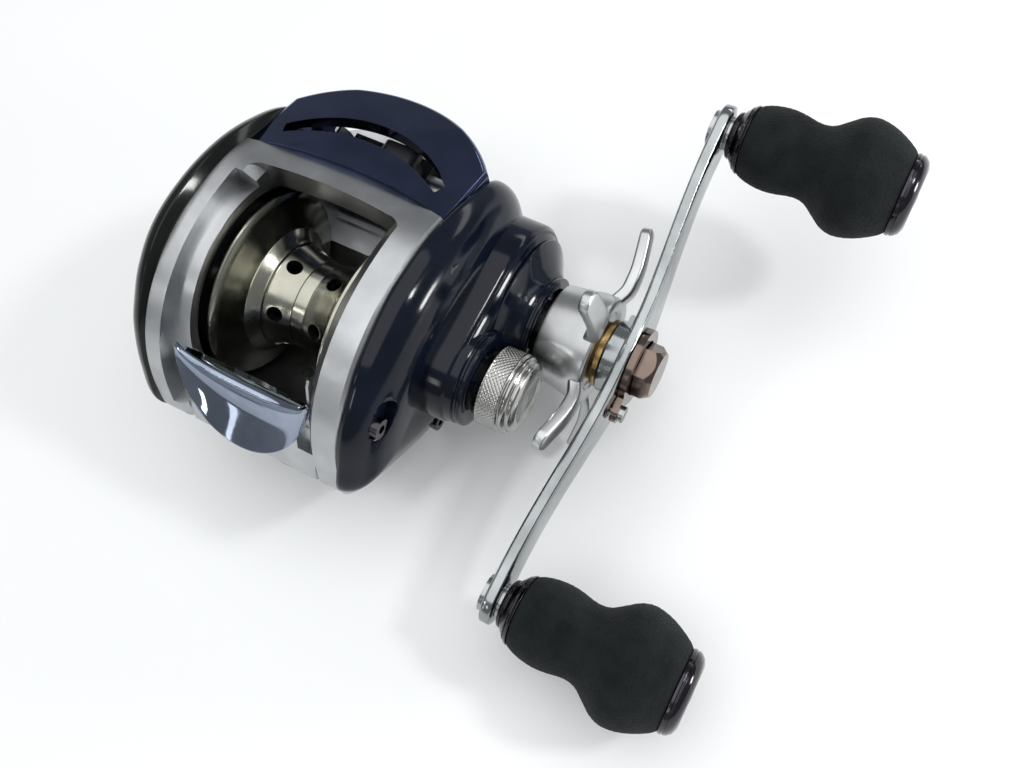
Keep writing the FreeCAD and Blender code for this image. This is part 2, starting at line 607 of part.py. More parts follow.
def pawl_cap():
    return Part.makeCylinder(1.8, 1.4, vec(GUIDE_X, WORM[0], WORM[1] - PAWL_LOW))


def worm_gear():
    phase = math.atan2(DRIVE[1] - WORM[1], DRIVE[0] - WORM[0]) + math.pi / WORM_TEETH
    return gear(21.1, 22.6, WORM_TEETH, WIND_MODULE, WORM, phase, 1.4)


# ---------------------------------------------------------------- hood

def hood():
    body = hood_envelope()
    rim = [e for e in body.Edges if e.BoundBox.ZMin > SPOOL_HEIGHT + HOOD_SEAT + 0.5 and e.BoundBox.YMax > 20]
    body = body.makeFillet(1.4, rim)
    bay = slab([(19.5, 16.4), (25, 15.2), (31, 13.2), (36.2, 11.2), (36.2, 0), (19.5, 0)], -15.6, 15.6, smooth=False)
    body = body.cut(bay.common(plan([
        [(-16, 17), (16, 17)], [(16, 17), (16, 28.5)], [(16, 28.5), (0, 35.2), (-16, 28.5)], [(-16, 28.5), (-16, 17)],
    ], SPOOL_HEIGHT - 10, SPOOL_HEIGHT + 30)))
    body = body.cut(box(-14.0, 14.0, 19.5, 45, SPOOL_HEIGHT, SPOOL_HEIGHT + BAR_UNDER))
    body = body.cut(hood_slot()).cut(cyl(-21, SPOOL_HALF + 0.6, BORE_R, SPOOL))
    for x in (-HOOD_SCREW_X, HOOD_SCREW_X):
        body = body.cut(Part.makeCylinder(1.0, 7.2, vec(x, HOOD_SCREW_Y, SPOOL_HEIGHT + 6)))
    return body


def hood_slot():
    """Crescent slot that the line is seen through."""
    return plan([
        [(-15.6, 20.4), (0, 25.0), (15.6, 20.4)], [(15.6, 20.4), (16.5, 22.6)],
        [(16.5, 22.6), (0, 29.8), (-16.5, 22.6)], [(-16.5, 22.6), (-15.6, 20.4)],
    ], SPOOL_HEIGHT, SPOOL_HEIGHT + 30)


def hood_studs():
    """Threaded studs that rise from the side plates into blind holes in the hood."""
    return Part.makeCompound([Part.makeCylinder(0.95, 6.8, vec(x, HOOD_SCREW_Y, SPOOL_HEIGHT + 6.2))
                              for x in (-HOOD_SCREW_X, HOOD_SCREW_X)])


# ---------------------------------------------------------------- gear cover and drive

COVER_OUTLINE = [
    (-28.2, -2), (-25.8, 4.5), (-21.3, 11.4), (-13.2, 18.3), (-3, 22.1), (5, 22.4), (12, 21.3), (19.5, 18.5),
    (25.5, 15.2), (30.2, 11.8), (33.6, 6.8), (35.2, 0.6), (34.6, -7), (31.0, -15.0), (24.8, -21.0), (16.3, -23.5),
    (8, -21.7), (0, -19.1), (-5, -18.0), (-12, -16.0), (-22, -8.4),
]


def cover_loft(sections):
    """Smooth-sided slab through the cover's outline, shrunk by a share at each x."""
    wires = []
    for x, share in sections:
        ring = [vec(x, 1.5 + share * (y - 1.5), SPOOL_HEIGHT - 1.0 + share * (h + 1.0)) for y, h in COVER_OUTLINE]
        curve = Part.BSplineCurve()
        curve.interpolate(ring, PeriodicFlag=True)
        wires.append(Part.Wire([curve.toShape()]))
    return Part.makeLoft(wires, True, True)


def gear_side_cover():
    base = cover_loft([(PLATE_OUT, 1.0), (22.0, 0.985), (24.0, 0.93), (25.6, 0.84), (26.8, 0.72)])
    crest = egg(22.5, COVER_FACE, DRIVE, CREST_R, SPOOL, 9.6)
    crest = crest.makeChamfer(1.1, outer_edges(crest, COVER_FACE))
    nose = turned([(COVER_FACE - 1, 0.01), (COVER_FACE - 1, 15.6), (COVER_FACE, 15.6), (34.0, 12.4),
                   (35.4, 10.0), (COVER_NOSE, 9.0), (COVER_NOSE, 0.01)], DRIVE)
    boss = cyl(COVER_FACE - 1, 34.0, 8.4, SPOOL)
    thread = cyl(33.0, 40.0, 5.2, SPOOL)
    nose = nose.cut(cyl(34.0, 45, 7.8, SPOOL))
    body = base.multiFuse([crest, nose, boss, thread])
    room = [
        egg(19, 28.8, DRIVE, 15.9, SPOOL, 8.2), cyl(19, 23.0, 3.75, WORM),
        cyl(28, 31.2, 8.2, SPOOL), cyl(28, 31.2, 12.6, DRIVE),
        slab([(-22.6, 7.4), (-8, 8), (0, 7), (0, -7), (-12, -8.5), (-20, -6.2), (-26, -2.5), (-26.2, 0.6),
              (-24.6, 3.8)], 19, 24.0, smooth=False),
        cyl(28, COVER_NOSE + 1, 7.5, DRIVE).cut(cyl(35.6, COVER_NOSE + 2, 7.6, DRIVE)),
        cyl(35, COVER_NOSE + 1, 5.4, DRIVE),
        cyl(30, 41, 3.0, SPOOL),
    ]
    for hollow in room:
        body = body.cut(hollow)
    body = body.cut(tube(36.2, 37.4, 6.0, 4.6, SPOOL))
    for y, z in COVER_SCREWS:
        body = body.cut(cyl(19, 40, 1.05, (y, z))).cut(cyl(24.6, 40, 1.9, (y, z)))
    return body


def cover_screws():
    shapes = []
    for y, z in COVER_SCREWS:
        head = cyl(24.6, 25.9, 1.8, (y, z))
        socket = cyl(25.2, 27, 0.8, (y, z))
        shapes.append(head.fuse(cyl(18.5, 24.6, 1.0, (y, z))).removeSplitter().cut(socket))
    return Part.makeCompound(shapes)


def drive_shaft():
    body = fuse([cyl(15.6, 20.9, 2.0, DRIVE), cyl(20.7, 57.6, SHAFT_R, DRIVE), cyl(28.6, 29.4, 5.0, DRIVE)])
    flats = [box(49.6, 60, DRIVE[0] - 5, DRIVE[0] + 5, DRIVE[1] + s, DRIVE[1] + s + 2) for s in (2.3, -4.3)]
    return crank(body.cut(Part.makeCompound(flats)))


def main_gear():
    phase = math.atan2(SPOOL[1] - DRIVE[1], SPOOL[0] - DRIVE[0])
    body = gear(GEAR_X, GEAR_X + GEAR_WIDTH, MAIN_TEETH, GEAR_MODULE, DRIVE, phase, SHAFT_R)
    dish = tube(GEAR_X + 1.4, GEAR_X + GEAR_WIDTH + 1, 12.4, SHAFT_R + 1.6, DRIVE)
    holes = [spin(cyl(GEAR_X - 1, GEAR_X + 3, 1.3, (DRIVE[0] + 8.5, DRIVE[1])), 60 * i, DRIVE) for i in range(6)]
    return body.cut(dish).cut(Part.makeCompound(holes))


def wind_drive_gear():
    phase = math.atan2(WORM[1] - DRIVE[1], WORM[0] - DRIVE[0])
    return gear(21.1, 22.6, WIND_TEETH, WIND_MODULE, DRIVE, phase, SHAFT_R)


def drag_washers():
    return Part.makeCompound([tube(24.4 + 0.8 * i, 24.8 + 0.8 * i, 12.0, SHAFT_R + 1.7, DRIVE) for i in range(3)])


def drag_plates():
    return Part.makeCompound([tube(24.8 + 0.8 * i, 25.2 + 0.8 * i, 12.0, SHAFT_R + 1.7, DRIVE) for i in range(3)])


def pressure_plate():
    return tube(26.8, 28.4, 11.6, SHAFT_R, DRIVE)


def clutch_sleeve():
    """Hardened sleeve that the one-way rollers grip."""
    return tube(29.6, 37.4, 4.9, SHAFT_R, DRIVE)


def one_way_bearing():
    outer = tube(30.0, 35.4, 7.5, 6.3, DRIVE)
    rollers = [spin(cyl(30.4, 35.0, 0.6, (DRIVE[0] + 5.6, DRIVE[1])), 45 * i, DRIVE) for i in range(8)]
    return Part.makeCompound([outer] + rollers)


# ---------------------------------------------------------------- cast control knob

def tension_knob():
    outer = turned([(34.3, 0.01), (34.3, 6.6), (35.2, 6.6), (35.2, 7.3), (39.6, 7.3), (40.4, 7.0), (42.0, 6.1),
                    (42.6, 4.6), (42.6, 0.01)], SPOOL)
    bore = cyl(33, 40.2, 5.2 + FIT, SPOOL).cut(cyl(33.35, 41, 2.8, SPOOL))
    return outer.cut(bore).cut(cyl(33, 33.35, 7.0, SPOOL))


def tension_ring():
    """Rubber ring that keeps the knob from turning by itself."""
    return tube(36.2, 37.4, 5.2 + FIT - 0.02, 4.6, SPOOL)


def tension_shim():
    return cyl(32.5, 33.3, 3.0 - FIT, SPOOL)


# ---------------------------------------------------------------- star drag and crank


def star_drag():
    """Drum that widens towards the crank, dished at its end, with five kinked flat arms."""
    hub = turned([(38.2, 0.01), (38.2, 8.6), (38.6, 9.0), (42.6, 9.5), (45.0, 10.1), (48.0, 10.3), (48.5, 9.9),
                  (48.5, 7.7), (47.4, 7.2), (47.4, 0.01)], DRIVE)
    arms = []
    for degrees in STAR_ANGLES:
        side = [(45.8, 8.6), (48.4, 8.6), (49.7, 11.5), (49.7, 16.4), (48.4, 23.9), (46.2, 23.4), (47.3, 16.1),
                (47.2, 12.0)]
        points = [vec(x, DRIVE[0] + r, DRIVE[1] - 2.6) for x, r in side]
        arm = Part.Face(Part.makePolygon(points + points[:1])).extrude(vec(0, 0, 5.2))
        blade = egg(40, 52, (DRIVE[0] + 8, DRIVE[1]), 2.4, (DRIVE[0] + STAR_REACH, DRIVE[1]), 2.1)
        arms.append(spin(arm.common(blade), degrees, DRIVE))
    body = fuse([hub] + arms)
    return body.cut(cyl(38, 41.0, 6.6, DRIVE)).cut(cyl(38, 50, SHAFT_R + FIT, DRIVE))


def star_nut():
    return tube(38.4, 40.9, 6.0, SHAFT_R + FIT, DRIVE)


def brass_washers():
    return Part.makeCompound([tube(47.6, 48.4, 5.6, SHAFT_R, DRIVE), tube(48.8, 49.7, 6.4, SHAFT_R, DRIVE)])


def spring_washers():
    return Part.makeCompound([tube(37.5, 38.0, 5.6, SHAFT_R, DRIVE), tube(48.4, 48.8, 5.0, SHAFT_R, DRIVE)])


def crank(shape):
    """Turn a shape built along +Y about the crank axis to the crank's resting tilt."""
    return spin(shape, CRANK_TILT, DRIVE)


def arm_line(shift):
    """One face of the bowed arm as (x, distance along the arm) points."""
    bow = [(0, 0.0), (8, -0.2), (16, -0.9), (26, -2.0), (36, -2.8), (41, -3.0), (53, -3.0)]
    half = [(ARM_X + drop + shift, run) for run, drop in bow]
    return [(x, -run) for x, run in reversed(half[1:])] + half


def handle_arm():
    """Bowed flat arm: wide at the middle, round at both tips."""
    outline = arm_line(-ARM_THICK / 2) + arm_line(ARM_THICK / 2)[::-1]
    points = [vec(x, DRIVE[0] + run, DRIVE[1] - 12) for x, run in outline]
    plate = Part.Face(Part.makePolygon(points + points[:1])).extrude(vec(0, 0, 24))
    tip_y = DRIVE[0] + CRANK_RADIUS
    back_y = DRIVE[0] - CRANK_RADIUS
    blades = egg(44, 60, DRIVE, 7.6, (tip_y, DRIVE[1]), 5.0).fuse(egg(44, 60, DRIVE, 7.6, (back_y, DRIVE[1]), 5.0))
    body = plate.common(blades)
    body = fuse([body, cyl(49.7, 53.0, 6.8, DRIVE)])
    bore = cyl(44, 60, SHAFT_R, DRIVE)
    flats = [box(44, 60, DRIVE[0] - 5, DRIVE[0] + 5, DRIVE[1] + s, DRIVE[1] + s + 2) for s in (2.3, -4.3)]
    bore = bore.cut(Part.makeCompound(flats))
    body = body.cut(bore)
    for y in (tip_y, back_y):
        body = body.cut(cyl(44, 60, SPINDLE_R, (y, DRIVE[1])))
    return crank(body.cut(cyl(52, 60, 0.7, LOCK_SCREW)))


def handle_nut():
    """Six-sided cap nut."""
    points = [vec(NUT_X, DRIVE[0] + 5.2 * math.cos(a), DRIVE[1] + 5.2 * math.sin(a))
              for a in [math.radians(60 * i) for i in range(6)]]
    body = Part.Face(Part.makePolygon(points + points[:1])).extrude(vec(4.6, 0, 0))
    dome = turned([(NUT_X, 0.01), (NUT_X, 5.2), (NUT_X + 3.2, 5.2), (NUT_X + 4.6, 4.2), (NUT_X + 4.6, 0.01)], DRIVE)
    return crank(body.common(dome).cut(cyl(NUT_X - 1, NUT_X + 3.2, SHAFT_R, DRIVE)))


def nut_retainer():
    """Cap over the nut with a lug that takes the small locking screw."""
    ring = tube(NUT_X, NUT_X + 1.2, 7.2, 5.3, DRIVE)
    lug = egg(NUT_X, NUT_X + 1.2, (DRIVE[0] - 5.9, DRIVE[1]), 2.3, LOCK_SCREW, 2.0)
    body = fuse([ring, lug]).cut(cyl(NUT_X - 1, NUT_X + 2, 5.3, DRIVE))
    return crank(body.cut(cyl(NUT_X - 1, NUT_X + 2, 0.7, LOCK_SCREW)))


def retainer_screw():
    y, z = LOCK_SCREW
    head = cyl(NUT_X + 1.2, NUT_X + 2.2, 1.5, LOCK_SCREW)
    slot = box(NUT_X + 1.7, NUT_X + 3, y - 2, y + 2, z - 0.25, z + 0.25)
    return crank(head.fuse(cyl(52.4, NUT_X + 1.2, 0.7, LOCK_SCREW)).removeSplitter().cut(slot))


def knob_parts(side):
    """Spindle, bush, inner cap, foam grip and outer cap of one crank knob; side is 1 front, -1 rear."""
    axis = (DRIVE[0] + side * CRANK_RADIUS, DRIVE[1])
    arm_face = ARM_END_X + ARM_THICK / 2 + 0.05
    spindle = fuse([cyl(ARM_END_X - 2.1, 85.6, SPINDLE_R, axis), cyl(ARM_END_X - 2.1, ARM_END_X - 1.3, 3.4, axis),
                    cyl(arm_face, arm_face + 0.5, 3.2, axis)])
    bush = tube(KNOB_IN, 84.0, 4.2, SPINDLE_R + FIT, axis)
    cap_in = turned([(arm_face + 0.7, 3.0), (arm_face + 0.7, 4.2), (54.6, 5.4), (KNOB_IN, 6.6), (KNOB_IN, 3.0)], axis)
    length = KNOB_OUT - 3.0 - KNOB_IN
    shape = [(0.0, 6.6), (0.04, 7.1), (0.12, 7.55), (0.2, 7.7), (0.28, 7.45), (0.36, 7.0), (0.43, 6.9),
             (0.5, 7.6), (0.57, 9.2), (0.64, 10.5), (0.7, 10.9), (0.77, 10.7), (0.85, 9.9), (0.93, 8.7), (1.0, 7.7)]
    profile = [(KNOB_IN + t * length, r) for t, r in shape]
    foam = turned(profile + [(KNOB_IN + length, 4.2), (KNOB_IN, 4.2)], axis)
    end = KNOB_IN + length
    cap_out = turned([(end, 0.01), (end, 7.6), (end + 1.2, 7.6), (end + 2.4, 6.6), (KNOB_OUT, 4.4),
                      (KNOB_OUT, 0.01)], axis).cut(cyl(end - 1, 85.9, SPINDLE_R + FIT, axis))
    return {"spindle": spindle, "bush": bush, "cap_inner": cap_in, "grip": foam, "cap_outer": cap_out}


def main():
    save("frame", frame())
    save("reel_foot", reel_foot())
    save("foot_rivets", foot_rivets())
    save("palm_side_plate", palm_side_plate())
    save("brake_dial", brake_dial())
    save("magnet_carrier", magnet_carrier())
    save("brake_magnets", brake_magnets())
    save("spool_bearing_left", ball_bearing(-19.0, -16.6, 4.5, 1.25, SPOOL, 7))
    save("spool", spool())
    save("spool_shaft", spool_shaft())
    save("spool_cross_pin", cross_pin())
    save("pinion_bearing", ball_bearing(17.5, 20.2, 4.5, 2.65, SPOOL, 11))
    save("pinion_gear", pinion_gear())
    save("clutch_yoke", clutch_yoke())
    save("yoke_posts", yoke_posts())
    save("yoke_springs", yoke_springs())
    save("thumb_bar", thumb_bar())
    save("clutch_cam", clutch_cam())
    save("hood", hood())
    save("housing_screws", Part.makeCompound([hood_studs(), palm_screw()]))
    save("worm_shaft", worm_shaft())
    save("worm_bushes", worm_bushes())
    save("worm_guard", worm_guard())
    save("guide_rod", guide_rod())
    save("line_guide", line_guide())
    save("line_guide_ring", line_guide_ring())
    save("pawl", pawl())
    save("pawl_cap", pawl_cap())
    save("worm_gear", worm_gear())
    save("gear_side_cover", gear_side_cover())
    save("cover_screws", cover_screws())
    save("drive_shaft", drive_shaft())
    save("drive_shaft_bearing", ball_bearing(15.6, 18.6, 4.0, 2.05, DRIVE, 9))
    save("wind_drive_gear", wind_drive_gear())
    save("main_gear", main_gear())
    save("drag_washers", drag_washers())
    save("drag_plates", drag_plates())
    save("pressure_plate", pressure_plate())
    save("clutch_sleeve", clutch_sleeve())
    save("one_way_bearing", one_way_bearing())
    save("tension_knob", tension_knob())
    save("tension_ring", tension_ring())
    save("tension_shim", tension_shim())
    save("star_drag", star_drag())
    save("star_nut", star_nut())
    save("brass_washers", brass_washers())
    save("spring_washers", spring_washers())
    save("handle_arm", handle_arm())
    save("handle_nut", handle_nut())
    save("nut_retainer", nut_retainer())
    save("retainer_screw", retainer_screw())
    for name, side in (("front", 1), ("rear", -1)):
        for piece, shape in knob_parts(side).items():
            if piece in ("grip", "cap_inner", "cap_outer"):
                save("knob_" + name + "_" + piece, crank(shape))
    spindles = [crank(knob_parts(side)["spindle"]) for side in (1, -1)]
    bushes = {name: crank(knob_parts(side)["bush"]) for name, side in (("front", 1), ("rear", -1))}
    save("knob_spindles", Part.makeCompound(spindles))
    for name, bush in bushes.items():
        save("knob_" + name + "_bush", bush)


main()
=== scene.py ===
"""Looks for the baitcasting reel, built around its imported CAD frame. Lengths are metres unless named mm."""
import json
import math
import bpy
import bmesh
import numpy as np
from mathutils import Matrix, Vector


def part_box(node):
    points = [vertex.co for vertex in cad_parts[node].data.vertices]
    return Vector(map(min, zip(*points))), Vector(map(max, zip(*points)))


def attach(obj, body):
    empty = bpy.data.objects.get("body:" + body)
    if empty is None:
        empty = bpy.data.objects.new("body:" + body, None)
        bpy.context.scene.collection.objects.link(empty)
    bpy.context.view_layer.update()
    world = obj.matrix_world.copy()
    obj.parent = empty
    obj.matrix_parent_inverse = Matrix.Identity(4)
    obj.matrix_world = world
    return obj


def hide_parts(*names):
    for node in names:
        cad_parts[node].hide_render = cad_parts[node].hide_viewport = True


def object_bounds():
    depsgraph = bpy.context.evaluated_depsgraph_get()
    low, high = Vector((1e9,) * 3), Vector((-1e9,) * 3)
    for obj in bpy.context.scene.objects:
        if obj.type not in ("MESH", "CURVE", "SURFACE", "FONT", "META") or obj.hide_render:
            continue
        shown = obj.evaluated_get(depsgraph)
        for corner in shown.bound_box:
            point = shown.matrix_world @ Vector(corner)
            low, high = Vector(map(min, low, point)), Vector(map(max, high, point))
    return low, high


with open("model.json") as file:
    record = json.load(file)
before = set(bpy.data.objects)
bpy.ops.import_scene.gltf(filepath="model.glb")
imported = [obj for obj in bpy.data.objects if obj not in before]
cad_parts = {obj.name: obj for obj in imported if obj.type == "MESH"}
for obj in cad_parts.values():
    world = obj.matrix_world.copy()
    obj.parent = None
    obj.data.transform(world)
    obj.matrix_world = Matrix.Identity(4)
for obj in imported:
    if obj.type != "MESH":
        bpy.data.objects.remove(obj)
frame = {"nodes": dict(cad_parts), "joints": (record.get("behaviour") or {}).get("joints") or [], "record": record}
cad_box = [list(corner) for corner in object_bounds()]

MM = 0.001
JOINTS = {j["name"]: j for j in frame["joints"]}


def axis_of(joint):
    """(y, z) of a joint's axis along X."""
    return JOINTS[joint]["pos_m"][1], JOINTS[joint]["pos_m"][2]


SPOOL = axis_of("spool_spin")
DRIVE = axis_of("handle_turn")
WORM = axis_of("worm_spin")


# ---------------------------------------------------------------- materials

class Look:
    """A node material in the making: one Principled shader, with helpers that feed its sockets."""

    def __init__(self, name, color, rough, metal=0.0, coat=0.0, coat_rough=0.05, spec=0.5):
        self.mat = bpy.data.materials.new(name)
        self.mat.use_nodes = True
        self.nodes = self.mat.node_tree.nodes
        self.links = self.mat.node_tree.links
        self.shader = self.nodes["Principled BSDF"]
        self.set("Base Color", (*color, 1.0))
        self.set("Roughness", rough)
        self.set("Metallic", metal)
        self.set("Coat Weight", coat)
        self.set("Coat Roughness", coat_rough)
        self.set("Specular IOR Level", spec)
        self.color = color
        self.rough = rough
        self.height = None

    def set(self, socket, value):
        self.shader.inputs[socket].default_value = value

    def node(self, kind, **inputs):
        new = self.nodes.new(kind)
        for key, value in inputs.items():
            new.inputs[key.replace("_", " ")].default_value = value
        return new

    def coords(self, scale=(1, 1, 1), turn=(0, 0, 0)):
        source = self.node("ShaderNodeTexCoord")
        mapping = self.node("ShaderNodeMapping")
        mapping.inputs["Scale"].default_value = scale
        mapping.inputs["Rotation"].default_value = turn
        self.links.new(source.outputs["Object"], mapping.inputs["Vector"])
        return mapping.outputs["Vector"]

    def noise(self, size, detail=3.0, stretch=(1, 1, 1), turn=(0, 0, 0)):
        """Noise whose blotches are about size metres across."""
        tex = self.node("ShaderNodeTexNoise", Scale=1.0, Detail=detail)
        self.links.new(self.coords([s / size for s in stretch], turn), tex.inputs["Vector"])
        return tex.outputs["Fac"]

    def ramp(self, value, low, high, out_low, out_high):
        """Map value from low..high to out_low..out_high."""
        node = self.nodes.new("ShaderNodeMapRange")
        for key, number in (("From Min", low), ("From Max", high), ("To Min", out_low), ("To Max", out_high)):
            node.inputs[key].default_value = number
        self.links.new(value, node.inputs["Value"])
        return node.outputs["Result"]

    def math(self, operation, a, b=None):
        node = self.nodes.new("ShaderNodeMath")
        node.operation = operation
        for i, value in enumerate((a, b)):
            if value is None:
                continue
            if isinstance(value, (int, float)):
                node.inputs[i].default_value = value
            else:
                self.links.new(value, node.inputs[i])
        return node.outputs["Value"]

    def mix(self, factor, a, b):
        """Colour that runs from a to b with factor; a and b are colours or sockets."""
        node = self.nodes.new("ShaderNodeMix")
        node.data_type = "RGBA"
        self.links.new(factor, node.inputs[0])
        for socket, value in ((node.inputs[6], a), (node.inputs[7], b)):
            if isinstance(value, tuple):
                socket.default_value = (*value, 1.0)
            else:
                self.links.new(value, socket)
        return node.outputs[2]

    def feed(self, socket, value):
        self.links.new(value, self.shader.inputs[socket])

    def bump(self, value, depth):
        """Add a bump layer; depth is the height in metres of a full 0..1 swing."""
        node = self.nodes.new("ShaderNodeBump")
        node.inputs["Strength"].default_value = 1.0
        node.inputs["Distance"].default_value = depth
        self.links.new(value, node.inputs["Height"])
        if self.height:
            self.links.new(self.height, node.inputs["Normal"])
        self.height = node.outputs["Normal"]
        self.links.new(self.height, self.shader.inputs["Normal"])


def smudged(look, spread=0.06, size=0.006):
    """Uneven roughness and a trace of handling marks, as on handled metal."""
    blotch = look.noise(size)
    fine = look.noise(size * 0.12, detail=5)
    both = look.math("ADD", look.math("MULTIPLY", blotch, 0.65), look.math("MULTIPLY", fine, 0.35))
    look.feed("Roughness", look.ramp(both, 0.35, 0.65, max(look.rough - spread, 0.02), look.rough + spread))
    return look


def tinted(look, share=0.15, size=0.01):
    """Colour that drifts a little lighter and darker over a part."""
    low = tuple(c * (1 - share) for c in look.color)
    high = tuple(min(c * (1 + share), 1.0) for c in look.color)
    look.feed("Base Color", look.mix(look.ramp(look.noise(size), 0.35, 0.65, 0.0, 1.0), low, high))
    return look


def turned(look, pitch=0.00018, depth=0.000006):
    """Fine tool rings about the X axis, left by a lathe."""
    rings = look.noise(1.0, detail=4, stretch=(1 / pitch, 6, 6))
    look.bump(rings, depth)
    return look


def grained(look, size=0.00012, depth=0.000004, stretch=(1, 1, 1), turn=(0, 0, 0)):
    """Fine surface grain: paint, blasting or brushing, long in the axes with a small stretch."""
    look.bump(look.noise(size, detail=4, stretch=stretch, turn=turn), depth)
    return look


def foam_look():
    """Closed-cell foam: cut cells, soft dust and no shine."""
    look = Look("foam", (0.006, 0.0085, 0.009), 0.95, spec=0.2)
    cells = look.node("ShaderNodeTexVoronoi", Scale=1.0)
    look.links.new(look.coords((2600, 2600, 2600)), cells.inputs["Vector"])
    worn = look.ramp(look.noise(0.004, detail=6), 0.35, 0.7, 0.0, 1.0)
    look.feed("Base Color", look.mix(worn, (0.0045, 0.0068, 0.0072), (0.0105, 0.0135, 0.0142)))
    look.feed("Roughness", look.ramp(cells.outputs["Distance"], 0.0, 0.8, 0.86, 1.0))
    look.bump(look.noise(0.0022, detail=5), 0.00016)
    look.bump(cells.outputs["Distance"], 0.00011)
    look.set("Sheen Weight", 0.03)
    look.set("Sheen Roughness", 0.6)
    return look.mat


def carbon_look():
    """Woven fibre drag washer."""
    look = Look("carbon", (0.03, 0.03, 0.03), 0.6)
    weave = look.node("ShaderNodeTexChecker", Scale=1.0)
    look.links.new(look.coords((900, 900, 900)), weave.inputs["Vector"])
    look.feed("Base Color", look.mix(weave.outputs["Fac"], (0.02, 0.02, 0.02), (0.05, 0.05, 0.05)))
    look.feed("Roughness", look.ramp(look.noise(0.0008), 0.3, 0.7, 0.5, 0.75))
    return look.mat


def gloss_paint(name, color, rough=0.16):
    """Lacquered cover: slight orange peel under a clear coat, with wiped dust."""
    look = smudged(Look(name, color, rough, coat=0.3, coat_rough=0.1, spec=0.1), 0.05, 0.008)
    look = tinted(look, 0.3, 0.012)
    look.bump(look.noise(0.0016, detail=2), 0.000007)
    return look.mat


def metal(name, color, rough, spread=0.06, size=0.006, drift=0.12):
    return tinted(smudged(Look(name, color, rough, metal=1.0), spread, size), drift)


BRUSH_TURN = (0, 0, math.radians(10.5))
BRUSH_STRETCH = (3, 0.3, 3)
LOOKS = {
    "frame_silver": grained(metal("silver_paint", (0.42, 0.43, 0.44), 0.33, 0.05), 0.00022, 0.000012).mat,
    "hood_chrome": grained(metal("dark_chrome", (0.065, 0.08, 0.15), 0.09, 0.04, 0.02, 0.12),
                           0.003, 0.00001).mat,
    "cover_navy": gloss_paint("navy_gloss", (0.0030, 0.0052, 0.0120)),
    "palm_black": gloss_paint("black_gloss", (0.0055, 0.0068, 0.0062), 0.2),
    "gunmetal": turned(metal("gunmetal", (0.36, 0.355, 0.30), 0.2, 0.06, 0.003, 0.2), 0.0002, 0.00001).mat,
    "thumb_chrome": grained(metal("thumb_chrome", (0.27, 0.31, 0.39), 0.06, 0.03, 0.005, 0.2),
                            0.002, 0.000006).mat,
    "silver_satin": turned(metal("satin_aluminium", (0.46, 0.47, 0.475), 0.3, 0.03, 0.012),
                           0.0003, 0.000003).mat,
    "crank_steel": grained(metal("crank_steel", (0.30, 0.32, 0.325), 0.16, 0.07, 0.004, 0.2),
                           0.0006, 0.000012, BRUSH_STRETCH, BRUSH_TURN).mat,
    "steel": turned(metal("steel", (0.36, 0.365, 0.37), 0.24), 0.00025, 0.000005).mat,
    "knurl_nickel": turned(metal("knurl_nickel", (0.36, 0.36, 0.345), 0.2, 0.06, 0.002),
                           0.0003, 0.000004).mat,
    "brass": turned(metal("brass", (0.42, 0.28, 0.11), 0.25), 0.0003, 0.000005).mat,
    "nut_chrome": grained(metal("nut_chrome", (0.17, 0.13, 0.11), 0.16, 0.06, 0.002, 0.3),
                          0.0008, 0.00001).mat,
    "black_chrome": turned(metal("black_chrome", (0.055, 0.052, 0.060), 0.14, 0.05, 0.003),
                           0.0004, 0.000005).mat,
    "foam": foam_look(),
    "black_plastic": grained(tinted(smudged(Look("black_plastic", (0.012, 0.012, 0.013), 0.42)), 0.3),
                             0.0003, 0.00002).mat,
    "carbon": carbon_look(),
    "ceramic": grained(tinted(smudged(Look("ceramic", (0.04, 0.042, 0.046), 0.16))), 0.0008, 0.000004).mat,
    "rubber": grained(tinted(smudged(Look("rubber", (0.02, 0.02, 0.02), 0.8))), 0.0004, 0.00002).mat,
    "magnet": grained(metal("magnet", (0.42, 0.42, 0.43), 0.2), 0.0006, 0.000006).mat,
}

SLOT_OF = {part["node"]: part["material_slot"] for part in frame["record"]["subparts"]}
for node, obj in frame["nodes"].items():
    obj.data.materials.clear()
    obj.data.materials.append(LOOKS[SLOT_OF[node]])

# ---------------------------------------------------------------- mesh helpers

def add_piece(name, mesh, slot, body, nodes=(), bevel=0.0, smooth=True):
    """Object from a mesh in row metres, shaded smooth, riding on a body and standing for CAD nodes."""
    obj = bpy.data.objects.new(name, mesh)
    bpy.context.collection.objects.link(obj)
    mesh.materials.append(LOOKS[slot])
    mesh.polygons.foreach_set("use_smooth", [smooth] * len(mesh.polygons))
    if bevel:
        soften(obj, bevel)
    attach(obj, body)
    if nodes:
        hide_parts(*nodes)
    return obj


def soften(obj, width, angle=28, segments=3):
    """Round the sharp edges of a hard part."""
    bevel = obj.modifiers.new("edges", "BEVEL")
    bevel.width = width * MM
    bevel.segments = segments
    bevel.limit_method = "ANGLE"
    bevel.angle_limit = math.radians(angle)
    bevel.harden_normals = True
    bevel.use_clamp_overlap = True


def mesh_from(name, verts, faces):
    mesh = bpy.data.meshes.new(name)
    mesh.from_pydata([tuple(v) for v in verts], [], faces)
    mesh.validate()
    bm = bmesh.new()
    bm.from_mesh(mesh)
    bmesh.ops.remove_doubles(bm, verts=bm.verts, dist=1e-6)
    bmesh.ops.recalc_face_normals(bm, faces=bm.faces)
    bm.to_mesh(mesh)
    bm.free()
    return mesh


